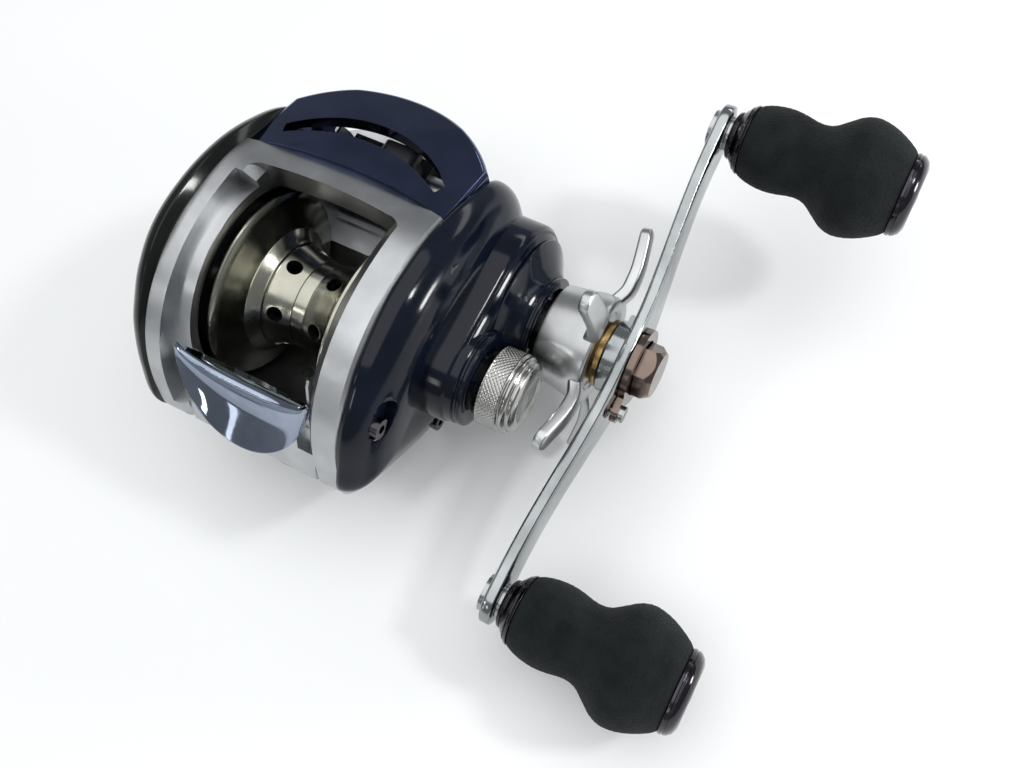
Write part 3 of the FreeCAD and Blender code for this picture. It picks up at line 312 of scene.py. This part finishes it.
def spline(points, steps):
    """Catmull-Rom curve through points of any dimension, with steps per span, ends kept."""
    out = []
    count = len(points)
    for i in range(count - 1):
        p0, p1 = points[max(i - 1, 0)], points[i]
        p2, p3 = points[i + 1], points[min(i + 2, count - 1)]
        for k in range(steps):
            t = k / steps
            out.append(tuple(
                0.5 * (2 * b + (c - a) * t
                       + (2 * a - 5 * b + 4 * c - d) * t * t + (3 * b - a - 3 * c + d) * t ** 3)
                for a, b, c, d in zip(p0, p1, p2, p3)))
    out.append(tuple(points[-1]))
    return out


def ring_loops(rings, closed_ends=True, wrap=False):
    """Faces that join equal rings of vertices one after another; ends are capped or wrapped."""
    count, size = len(rings), len(rings[0])
    verts = [v for ring in rings for v in ring]
    faces = []
    for i in range(count if wrap else count - 1):
        j = (i + 1) % count
        for k in range(size):
            m = (k + 1) % size
            faces.append((i * size + k, i * size + m, j * size + m, j * size + k))
    if closed_ends and not wrap:
        faces.append(tuple(range(size)))
        faces.append(tuple((count - 1) * size + k for k in range(size)))
    return verts, faces


def lathe(name, profile, axis, segments=96, rise=None, wrap=False):
    """Turned mesh about an X axis at (y, z) metres.

    profile is (x mm, r mm), and rise(x, angle) adds to r in mm.
    """
    rings = []
    for x, r in profile:
        ring = []
        for k in range(segments):
            a = 2 * math.pi * k / segments
            radius = r + (rise(x, a) if rise else 0.0)
            ring.append((x * MM, axis[0] + radius * MM * math.cos(a), axis[1] + radius * MM * math.sin(a)))
        rings.append(ring)
    return mesh_from(name, *ring_loops(rings, wrap=wrap))


def rounded_section(half_width, half_thick, power=3.2, count=28):
    """Superellipse in the plane across a bar, as (across, thick) pairs in mm."""
    out = []
    for k in range(count):
        a = 2 * math.pi * k / count
        c, s = math.cos(a), math.sin(a)
        out.append((math.copysign(abs(c) ** (2 / power), c) * half_width,
                    math.copysign(abs(s) ** (2 / power), s) * half_thick))
    return out


def swept_bar(name, stations, axis, angle, power=3.2):
    """Bar that lies in a plane through an X axis, turned by angle about it.

    stations are (distance from the axis, x, half width, half thickness), all mm.
    """
    turn = (math.cos(angle), math.sin(angle))
    rings = []
    for i, (run, x, wide, thick) in enumerate(stations):
        before, after = stations[max(i - 1, 0)], stations[min(i + 1, len(stations) - 1)]
        slope = Vector((after[0] - before[0], after[1] - before[1])).normalized()
        ring = []
        for across, out in rounded_section(max(wide, 0.05), thick, power):
            r = run - slope[1] * out
            y = r * turn[0] - across * turn[1]
            z = r * turn[1] + across * turn[0]
            ring.append(((x + slope[0] * out) * MM, axis[0] + y * MM, axis[1] + z * MM))
        rings.append(ring)
    return mesh_from(name, *ring_loops(rings))


def round_tip(base, tip, wide, thick, steps=7):
    """Stations that close a bar with a half-round tip; base and tip are (run, x)."""
    out = []
    for k in range(1, steps + 1):
        a = math.pi / 2 * k / steps
        t = math.sin(a)
        run = base[0] + (tip[0] - base[0]) * t
        x = base[1] + (tip[1] - base[1]) * t
        out.append((run, x, wide * math.cos(a) + 0.02, thick * (1 - 0.35 * t ** 4)))
    return out


# ---------------------------------------------------------------- crank, star and knobs

KNOB_AT = axis_of("knob_front_spin")
CRANK_TILT = math.atan2(KNOB_AT[1] - DRIVE[1], KNOB_AT[0] - DRIVE[0])
CRANK_RADIUS = math.hypot(KNOB_AT[0] - DRIVE[0], KNOB_AT[1] - DRIVE[1]) / MM
ARM_HALF_THICK = 1.25
ARM_END_HALF_WIDE = 4.9
ARM_BOW = 3.0
ARM_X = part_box("handle_arm")[1].x / MM - ARM_HALF_THICK
STAR_PHASE = 23.0
STAR_ARMS = 5
STAR_TIP_RUN = 21.4


def make_arm():
    """Bowed crank arm: one smooth bar with round tips, and a boss behind its middle."""
    half = [(0.0, 0.0, 7.4), (5.0, -0.05, 7.1), (11.0, -0.45, 5.9), (18.0, -1.15, 5.0), (26.0, -2.0, 4.6),
            (34.0, -2.65, 4.5), (41.0, -2.95, 4.7), (CRANK_RADIUS, -ARM_BOW, ARM_END_HALF_WIDE)]
    side = spline([(*station, ARM_HALF_THICK) for station in half], 5)
    side += round_tip((CRANK_RADIUS, -ARM_BOW), (CRANK_RADIUS + ARM_END_HALF_WIDE, -ARM_BOW),
                      ARM_END_HALF_WIDE, ARM_HALF_THICK)
    stations = [(-r, x, w, t) for r, x, w, t in reversed(side[1:])] + side
    stations = [(r, ARM_X + x, w, t) for r, x, w, t in stations]
    arm = swept_bar("crank_arm", stations, DRIVE, CRANK_TILT, power=6.0)
    add_piece("crank_arm", arm, "crank_steel", "crank", ["handle_arm"])
    boss = [(49.7, 3.05), (49.7, 6.4), (50.1, 6.8), (53.0, 6.8), (53.0, 3.05)]
    add_piece("crank_boss", lathe("crank_boss", boss, DRIVE, wrap=True), "crank_steel", "crank", bevel=0.15)


def make_knob(name, joint):
    """One crank knob: foam grip with two bulbs, and turned caps at both ends."""
    axis = axis_of(joint)
    low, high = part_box("knob_" + name + "_grip")
    start, length = low.x / MM, (high.x - low.x) / MM
    shape = [(0.0, 5.9), (0.012, 6.5), (0.06, 7.1), (0.13, 7.55), (0.21, 7.7), (0.29, 7.45), (0.36, 7.05),
             (0.42, 6.95), (0.48, 7.4), (0.55, 8.8), (0.62, 10.2), (0.69, 10.85), (0.76, 10.75), (0.84, 10.1),
             (0.92, 9.0), (0.975, 8.0), (1.0, 7.3)]
    profile = [(start + t * length, r) for t, r in spline(shape, 6)]
    profile = [(start, 4.2)] + profile + [(start + length, 4.2)]
    grip = lathe("grip_" + name, profile, axis, segments=160, rise=foam_pores)
    piece = add_piece("grip_" + name, grip, "foam", "knob_" + name, ["knob_" + name + "_grip"])
    low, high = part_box("knob_" + name + "_cap_inner")
    x0, x1 = low.x / MM, high.x / MM
    cap = [(x0, 3.05), (x0, 4.0), (x0 + 0.25, 4.35), (x0 + 0.7, 4.5), (x0 + 0.8, 4.3), (x0 + 1.0, 4.3),
           (x0 + 1.1, 4.75), (x1 - 1.0, 6.0), (x1 - 0.9, 5.85), (x1 - 0.7, 5.85), (x1 - 0.6, 6.3),
           (x1 - 0.1, 6.55), (x1, 6.4), (x1, 3.05)]
    add_piece("cap_inner_" + name, lathe("cap_inner_" + name, cap, axis, wrap=True), "black_chrome",
              "knob_" + name, ["knob_" + name + "_cap_inner"], bevel=0.08)
    low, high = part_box("knob_" + name + "_cap_outer")
    x0, x1 = low.x / MM, high.x / MM
    cap = [(x0, 0.4), (x0, 7.35), (x0 + 0.2, 7.55), (x0 + 0.7, 7.6), (x0 + 0.8, 7.4), (x0 + 1.0, 7.4),
           (x0 + 1.1, 7.5), (x0 + 1.6, 7.3), (x0 + 2.3, 6.7), (x1 - 0.25, 5.6), (x1 - 0.2, 5.2),
           (x1 - 0.45, 4.9), (x1 - 0.5, 3.0), (x1 - 0.2, 1.6), (x1 - 0.1, 0.4)]
    add_piece("cap_outer_" + name, lathe("cap_outer_" + name, cap, axis), "black_chrome",
              "knob_" + name, ["knob_" + name + "_cap_outer"], bevel=0.08)


def foam_pores(x, angle):
    """Very slight unevenness of cut foam, in mm."""
    return 0.035 * math.sin(7.3 * x + 5 * math.sin(3 * angle)) * math.sin(19 * angle + 2.1 * x)


def make_star():
    """Star drag: drum that widens to a dished end, and five kinked arms with round tips."""
    profile = [(38.2, 6.6), (38.2, 8.5), (38.4, 8.85), (39.0, 9.05), (42.6, 9.5), (45.0, 10.05), (47.6, 10.3),
               (48.15, 10.2), (48.45, 9.9), (48.5, 9.5), (48.5, 8.2), (48.3, 7.8), (47.5, 7.3), (47.4, 3.1),
               (41.0, 3.1), (41.0, 6.6)]
    drum = lathe("star_drum", profile, DRIVE, wrap=True)
    add_piece("star_drum", drum, "silver_satin", "star", ["star_drag"], bevel=0.12)
    spine = [(7.6, 47.0, 2.7, 1.2), (9.4, 47.35, 2.5, 1.2), (11.6, 48.35, 2.4, 1.2),
             (13.8, 48.55, 2.35, 1.18), (16.3, 48.45, 2.3, 1.15), (19.2, 48.0, 2.25, 1.12),
             (STAR_TIP_RUN, 47.6, 2.2, 1.1)]
    stations = spline(spine, 5) + round_tip((STAR_TIP_RUN, 47.6), (STAR_TIP_RUN + 2.1, 47.2), 2.2, 1.1)
    for i in range(STAR_ARMS):
        angle = math.radians(STAR_PHASE + 360 / STAR_ARMS * i)
        arm = swept_bar("star_arm_%d" % i, stations, DRIVE, angle, power=5.0)
        add_piece("star_arm_%d" % i, arm, "silver_satin", "star")


def make_tension_knob():
    """Cast control knob: plain collar, diamond knurl, polished rims and a domed end."""
    teeth, pitch, depth = 56, 0.75, 0.28
    band = (35.9, 39.7)
    run_out = 0.25
    rows = 30

    def diamonds(x, angle):
        if not band[0] < x < band[1]:
            return 0.0
        fade = min(1.0, (x - band[0]) / run_out, (band[1] - x) / run_out)
        u = angle * teeth / (2 * math.pi)
        a = abs(((u + x / pitch) % 1.0) - 0.5)
        b = abs(((u - x / pitch) % 1.0) - 0.5)
        return -2 * depth * fade * (0.5 - min(a, b))

    profile = [(34.35, 2.0), (34.35, 5.9), (34.5, 6.15), (35.3, 6.15), (35.45, 6.6), (35.6, 7.0),
               (35.8, 7.15)]
    profile += [(band[0] + (band[1] - band[0]) * k / rows, 7.3) for k in range(rows + 1)]
    profile += [(39.8, 7.15), (39.95, 6.85), (40.15, 6.85), (40.3, 7.1), (40.8, 7.05), (41.1, 6.7),
                (41.25, 6.4), (41.45, 6.4), (41.6, 6.55), (42.1, 6.0), (42.45, 5.2), (42.6, 4.4),
                (42.45, 4.1), (42.4, 2.0), (42.5, 0.5)]
    knob = lathe("cast_knob", profile, SPOOL, segments=336, rise=diamonds)
    add_piece("cast_knob", knob, "knurl_nickel", "tension_knob", ["tension_knob"])


# ---------------------------------------------------------------- side covers

def outline_curve(points, steps=8):
    """Closed smooth outline through (y, height above the spool axis) points in mm."""
    ring = [points[-1]] + list(points) + list(points[:2])
    return np.array(spline(ring, steps)[steps:-steps - 1])


def depth_inside(outline, points):
    """Distance in mm from points inside an outline to its nearest edge."""
    a = outline
    d = np.roll(outline, -1, axis=0) - a
    rel = points[:, None, :] - a[None]
    t = np.clip((rel * d).sum(2) / (d * d).sum(1), 0.0, 1.0)
    gap = rel - t[..., None] * d
    return np.sqrt((gap ** 2).sum(2)).min(1)


def quarter_round(depth, width, height):
    """Height of a rounded shoulder at distances in from its edge."""
    t = np.clip(depth / width, 0.0, 1.0)
    return height * np.sqrt(1 - (1 - t) ** 2)


def dome(name, outline, centre, base_x, height, rows, out=1):
    """Closed cover: rings run in from an outline to a centre, each point raised along X by its height."""
    rings = [np.column_stack([np.full(len(outline), base_x), outline])]
    for k in range(rows + 1):
        share = 1 - 0.995 * (k / rows) ** 1.7
        flat = centre + (outline - centre) * share
        rings.append(np.column_stack([base_x + out * height(flat), flat]))
    rings = [[(x * MM, y * MM, SPOOL[1] + h * MM) for x, y, h in ring] for ring in rings]
    return mesh_from(name, *ring_loops(rings))


def egg_ring(x, a, ra, b, rb, count=96):
    """Ring of points round the hull of two circles, in mm: (x, y, height above the spool axis)."""
    turn = math.atan2(b[1] - a[1], b[0] - a[0])
    swing = math.acos((ra - rb) / math.dist(a, b))
    big = [turn + swing + (2 * math.pi - 2 * swing) * k / (count - 1) for k in range(count)]
    small = [turn - swing + 2 * swing * k / (count // 2 - 1) for k in range(count // 2)]
    ring = [(x, a[0] + ra * math.cos(t), a[1] + ra * math.sin(t)) for t in big]
    return ring + [(x, b[0] + rb * math.cos(t), b[1] + rb * math.sin(t)) for t in small]


def carve(obj, cutters):
    """Cut cutter meshes out of a piece for good."""
    for mesh in cutters:
        tool = bpy.data.objects.new("tool", mesh)
        bpy.context.collection.objects.link(tool)
        cut = obj.modifiers.new("cut", "BOOLEAN")
        cut.operation = "DIFFERENCE"
        cut.solver = "EXACT"
        cut.object = tool
        bpy.context.view_layer.update()
        done = bpy.data.meshes.new_from_object(obj.evaluated_get(bpy.context.evaluated_depsgraph_get()))
        obj.modifiers.remove(cut)
        obj.data = done
        bpy.data.objects.remove(tool)


def capsule(name, a, b, radius, x0, x1, count=24):
    """Round-ended slot cutter along X between two (y, height) points, in mm."""
    turn = math.atan2(b[1] - a[1], b[0] - a[0])
    ends = ((b, -0.5), (a, 0.5))
    rings = []
    for x, grow in ((x0, 0.0), (x1 - 0.4, 0.0), (x1, 0.4)):
        ring = []
        for centre, start in ends:
            for k in range(count):
                t = turn + math.pi * (start + k / (count - 1))
                ring.append((x * MM, (centre[0] + (radius + grow) * math.cos(t)) * MM,
                             SPOOL[1] + (centre[1] + (radius + grow) * math.sin(t)) * MM))
        rings.append(ring)
    return mesh_from(name, *ring_loops(rings))


COVER_OUTLINE = [
    (-28.2, -2), (-25.8, 4.5), (-21.3, 11.4), (-13.2, 18.3), (-3, 22.1), (5, 22.4), (12, 21.3),
    (19.5, 18.5), (25.5, 15.2), (30.2, 11.8), (33.4, 6.8), (34.6, 0.6), (34.2, -7), (31.0, -15.0),
    (24.8, -21.0), (16.3, -23.5), (8, -21.7), (0, -19.1), (-5, -18.0), (-12, -16.0), (-22, -8.4),
]
PALM_OUTLINE = [
    (-27.9, -6), (-25.8, 3), (-21.8, 11.3), (-18.0, 16), (-14.2, 19.6), (-9, 22.8), (-3.5, 24.4),
    (3, 24.7), (9, 24.0), (15, 22.3), (21, 19.3), (27, 15.0), (32, 8.5), (34.6, 1), (32.6, -8), (25, -15.5),
    (12, -19.2), (0, -19.5), (-12, -19.2), (-22.5, -15),
]
DRIVE_MM = (DRIVE[0] / MM, (DRIVE[1] - SPOOL[1]) / MM)
PLATE_X = 20.5
CREST_R = 17.3
CREST_END_R = 9.6
POCKET_AT = (-18.0, 9.2)
POCKET_RUN = (2.6, 1.9)
DIAL_R = 9.62
PALM_SCREW_AT = (23.0, 5.0)
PALM_SCREW_R = 2.75


def make_gear_cover():
    """Gear cover in four forms that meet in creases: shoulder, crest, cone and cast control boss."""
    outline = outline_curve(COVER_OUTLINE)

    def height(points):
        depth = depth_inside(outline, points)
        lean = np.clip((points[:, 1] + 10.0) / 30.0, 0.0, 1.0)
        sink = 0.6 * np.clip((depth - 8.0) / 6.0, 0.0, 1.0)
        return quarter_round(depth, 11.5, 5.8 + 1.4 * lean) - sink

    centre = np.array([DRIVE_MM[0] * 0.5, DRIVE_MM[1] * 0.5])
    shell = dome("cover_shoulder", outline, centre, PLATE_X, height, 46)
    shoulder = add_piece("cover_shoulder", shell, "cover_navy", "reel_frame", ["gear_side_cover"])
    pocket_end = (POCKET_AT[0] + POCKET_RUN[0], POCKET_AT[1] + POCKET_RUN[1])
    carve(shoulder, [capsule("pocket", POCKET_AT, pocket_end, 2.1, 24.7, 40)])
    crest = [(21.5, 0.0), (30.0, 0.05), (30.5, 0.25), (31.1, 0.85), (31.15, 1.25), (31.35, 1.5), (32.0, 2.3),
             (32.35, 3.4), (32.5, 5.0), (32.5, 8.6)]
    rings = [egg_ring(x, DRIVE_MM, CREST_R - inset, (0, 0), CREST_END_R - inset) for x, inset in crest]
    rings = [[(x * MM, y * MM, SPOOL[1] + h * MM) for x, y, h in ring] for ring in rings]
    mesh = mesh_from("cover_crest", *ring_loops(rings))
    add_piece("cover_crest", mesh, "cover_navy", "reel_frame", bevel=0.12)
    cone = [(32.2, 15.3), (32.5, 15.3), (33.2, 14.2), (34.2, 12.2), (35.2, 10.4), (35.9, 9.7), (36.0, 9.35),
            (36.4, 9.3), (36.5, 9.55), (36.95, 9.5), (37.0, 9.2), (36.9, 7.6), (35.4, 7.55)]
    add_piece("cover_cone", lathe("cover_cone", cone, DRIVE), "cover_navy", "reel_frame", bevel=0.1)
    boss = [(26.0, 9.3), (32.2, 9.0), (32.5, 8.6), (32.9, 8.6), (33.1, 8.9), (33.6, 8.85), (33.8, 8.3),
            (33.95, 7.7), (33.7, 5.4), (33.7, 5.2), (40.0, 5.2), (40.0, 4.6)]
    add_piece("cover_boss", lathe("cover_boss", boss, SPOOL), "cover_navy", "reel_frame", bevel=0.08)


def make_palm_cover():
    """Palm side cover: one wide dome with a shallow dish for the dial."""
    outline = outline_curve(PALM_OUTLINE)

    def height(points):
        rise = quarter_round(depth_inside(outline, points), 9.5, 5.4)
        reach = np.hypot(points[:, 0], points[:, 1])
        dish = np.clip((reach - 9.7) / 0.9, 0.0, 1.0)
        return rise * dish + 4.4 * (1 - dish)

    mesh = dome("palm_cover", outline, np.array([0.01, 0.01]), -PLATE_X, height, 52, out=-1)
    palm = add_piece("palm_cover", mesh, "palm_black", "reel_frame", ["palm_side_plate"])
    beside_screw = (PALM_SCREW_AT[0] + 0.01, PALM_SCREW_AT[1])
    carve(palm, [capsule("hub", (0, 0), (0.01, 0), DIAL_R, -40, -24.9),
                 capsule("screw", PALM_SCREW_AT, beside_screw, PALM_SCREW_R, -40, -24.7)])


# ---------------------------------------------------------------- thumb bar and spool

BAR_LEAN = math.radians(22.5)
BAR_TOP = (-21.0, 9.5)
BAR_HALF = 13.6
SIDE_WALL_AT = 12.4
HOLE_X = 4.2
HOLE_R = 1.45
HOLES_AROUND = 6
HOLE_PHASE = 20


def on_bar(across, down, out):
    """Row point in metres on the slanted bar: across along X, down its face, out towards the thumb."""
    y = BAR_TOP[0] - down * math.sin(BAR_LEAN) - out * math.cos(BAR_LEAN)
    h = BAR_TOP[1] - down * math.cos(BAR_LEAN) + out * math.sin(BAR_LEAN)
    return across * MM, y * MM, SPOOL[1] + h * MM


def make_thumb_bar():
    """Scooped crescent: hollow mirror face, a lip that curls out below and pointed, upturned tips."""
    stations = 73
    rings = []
    for i in range(stations):
        t = math.sin(math.pi / 2 * (2 * i / (stations - 1) - 1))
        across = BAR_HALF * t
        full = (1 - t * t) ** 0.62
        horn = max(0.0, (abs(t) - 0.86) / 0.14) ** 2
        top = 0.5 - 1.9 * abs(t) ** 3 - 0.7 * horn
        run = 1.9 + 11.4 * full
        lip = 0.9 + 2.5 * full
        hollow = 1.7 * full
        reach = 2.2 * full if abs(across) < SIDE_WALL_AT else 0.0
        face = [(0.0, -reach), (0.0, 0.3), (0.01, 0.75), (0.03, 0.95), (0.055, 0.9)]
        for k in range(1, 17):
            v = k / 17
            out = 0.9 + (lip - 0.9) * v ** 2 - hollow * math.sin(math.pi * v) ** 0.9 * (1 - 0.45 * v)
            face.append((0.055 + 0.9 * v, max(out, -0.3)))
        face += [(0.962, lip), (0.975, lip + 0.12), (0.99, lip), (1.0, lip - 0.3), (0.995, lip - 0.75),
                 (0.95, max(lip - 1.5, 0.0)), (0.8, 0.0), (0.4, 0.0)]
        ring = [on_bar(across, top + run * f, out) for f, out in face]
        ring.append(on_bar(across, top + 1.4, 0.0))
        ring.append(on_bar(across, top + 1.2, -reach))
        rings.append(ring)
    mesh = mesh_from("thumb_scoop", *ring_loops(rings))
    add_piece("thumb_scoop", mesh, "thumb_chrome", "thumb_bar", ["thumb_bar"])


def make_spool():
    """Machined spool: stepped cones, a waisted drum and two rings of holes."""
    half = [(0.0, 8.25), (1.2, 8.25), (1.3, 8.45), (1.45, 8.5), (2.2, 8.6), (6.2, 9.55), (6.4, 9.75),
            (6.5, 10.1), (7.0, 10.4), (8.2, 12.0), (8.35, 12.05), (8.4, 12.3), (9.4, 14.3), (9.5, 14.6),
            (10.2, 16.3), (10.35, 16.9), (10.7, 17.4), (10.9, 17.75), (11.1, 17.95), (11.5, 17.95),
            (11.75, 17.75), (11.95, 17.1), (11.9, 16.9), (11.3, 15.9), (10.0, 13.0), (8.2, 9.8), (6.0, 7.9),
            (3.0, 7.0), (1.4, 7.0), (1.4, 1.6)]
    profile = [(-x, r) for x, r in reversed(half[1:])] + half
    body = lathe("spool_body", profile, SPOOL, segments=144, wrap=True)
    spool = add_piece("spool_body", body, "gunmetal", "spool", ["spool"])
    drills = []
    for x in (-HOLE_X, HOLE_X):
        for i in range(HOLES_AROUND):
            angle = math.radians(HOLE_PHASE + 360 / HOLES_AROUND * i)
            drills.append(drill(x, angle, HOLE_R, 4.0, 14.0))
    carve(spool, drills)
    soften(spool, 0.09, angle=40, segments=2)


def drill(x, angle, radius, r0, r1, count=28):
    """Radial cylinder cutter about the spool axis, in mm."""
    axis = (0.0, math.cos(angle), math.sin(angle))
    side = (0.0, -math.sin(angle), math.cos(angle))
    rings = []
    for r in (r0, r1):
        ring = []
        for k in range(count):
            t = 2 * math.pi * k / count
            along, across = radius * math.cos(t), radius * math.sin(t)
            ring.append(((x + along) * MM, SPOOL[0] + (r * axis[1] + across * side[1]) * MM,
                         SPOOL[1] + (r * axis[2] + across * side[2]) * MM))
        rings.append(ring)
    return mesh_from("drill", *ring_loops(rings))


def make_worm():
    """Level-wind shaft with its two crossed grooves."""
    half_length, pitch, depth, rows = 13.4, 6.4, 0.7, 148

    def grooves(x, angle):
        if abs(x) > half_length:
            return 0.0
        turn = angle / (2 * math.pi)
        cuts = [abs((turn + way * x / pitch) % 1.0 - 0.5) for way in (1, -1)]
        return -depth * min(1.0, max(0.0, (max(cuts) - 0.40) / 0.04))

    profile = [(-17.8, 0.4), (-17.8, 1.4), (-15.2, 1.4), (-15.0, 2.1)]
    profile += [(-14.8 + 29.6 * k / rows, 2.2) for k in range(rows + 1)]
    profile += [(15.0, 2.1), (15.2, 1.4), (22.8, 1.4), (22.8, 0.4)]
    worm = lathe("worm_grooved", profile, WORM, rise=grooves)
    add_piece("worm_grooved", worm, "steel", "worm", ["worm_shaft"])


make_arm()
make_worm()
make_knob("front", "knob_front_spin")
make_knob("rear", "knob_rear_spin")
make_star()
make_tension_knob()
make_gear_cover()
make_palm_cover()
make_thumb_bar()
make_spool()
CAD_EDGES = {
    "frame": 0.35, "hood": 0.3, "line_guide": 0.25, "handle_nut": 0.2, "nut_retainer": 0.15,
    "brass_washers": 0.08, "brake_dial": 0.2, "reel_foot": 0.2, "housing_screws": 0.1, "cover_screws": 0.1,
    "worm_guard": 0.1, "pawl_cap": 0.1, "foot_rivets": 0.1,
}
for node, width in CAD_EDGES.items():
    soften(frame["nodes"][node], width)

# ---------------------------------------------------------------- camera, floor and light

spool_at = Vector((0.0, *SPOOL))
CAMERA_AT = spool_at + Vector((87.4, -52.9, 163.0)) * MM
CAMERA_AIM = CAMERA_AT + Vector((-0.2735, 0.3039, -0.9126)) * 0.2
CAMERA_ROLL = math.radians(15.1)
CAMERA_LENS = 36.3
FLOOR_GAP = 0.004
SKY_STRENGTH = 0.3


def make_camera():
    data = bpy.data.cameras.new("camera")
    data.lens = CAMERA_LENS
    data.sensor_width = 36.0
    data.clip_start = 0.005
    camera = bpy.data.objects.new("camera", data)
    bpy.context.collection.objects.link(camera)
    back = (CAMERA_AT - CAMERA_AIM).normalized()
    right = Vector((0, 0, 1)).cross(back).normalized()
    up = back.cross(right)
    turn = Matrix((right, up, back)).transposed().to_4x4()
    camera.matrix_world = Matrix.Translation(CAMERA_AT) @ turn @ Matrix.Rotation(-CAMERA_ROLL, 4, "Z")
    bpy.context.scene.camera = camera


def make_stage():
    level = Matrix.Translation((0, 0, cad_box[0][2] - FLOOR_GAP))
    floor = bpy.data.objects.new("floor", bpy.data.meshes.new("floor"))
    bm = bmesh.new()
    bmesh.ops.create_grid(bm, x_segments=1, y_segments=1, size=2.0, matrix=level)
    bm.to_mesh(floor.data)
    bm.free()
    look = tinted(smudged(Look("floor", (0.86, 0.87, 0.87), 0.75, spec=0.2), 0.05, 0.05), 0.012, 0.3)
    floor.data.materials.append(look.mat)
    bpy.context.collection.objects.link(floor)
    world = bpy.data.worlds.new("studio")
    world.use_nodes = True
    world.node_tree.nodes["Background"].inputs[0].default_value = (0.94, 0.97, 1.0, 1)
    world.node_tree.nodes["Background"].inputs[1].default_value = SKY_STRENGTH
    bpy.context.scene.world = world


def area_light(name, at, aim, size, power):
    data = bpy.data.lights.new(name, "AREA")
    data.shape = "RECTANGLE"
    data.size, data.size_y = size
    data.energy = power
    light = bpy.data.objects.new(name, data)
    bpy.context.collection.objects.link(light)
    light.location = at
    light.rotation_euler = (Vector(aim) - Vector(at)).to_track_quat("-Z", "Y").to_euler()


make_camera()
make_stage()
bpy.context.scene.view_settings.view_transform = "Standard"
area_light("overhead", (-0.1, 0.0, 1.2), (-0.1, 0, 0), (1.9, 1.9), 17)
area_light("back", (0.25, 0.95, 0.32), (0, 0, 0.02), (0.7, 0.12), 0.9)
area_light("glint", (0.40, 0.17, 0.42), (0.02, 0, 0.02), (0.07, 0.07), 0.8)
area_light("streak", (-0.38, -0.58, 0.46), (0, 0, 0.03), (0.14, 0.05), 0.25)
area_light("side", (0.50, 0.17, 0.085), (0.02, 0, 0.04), (0.09, 0.06), 0.8)
area_light("scoop strip", (-0.25, -0.58, 0.20), (0, -0.02, 0.025), (0.035, 0.30), 0.09)
area_light("scoop spot", (0.0, -0.56, 0.30), (0, -0.02, 0.025), (0.05, 0.12), 0.12)
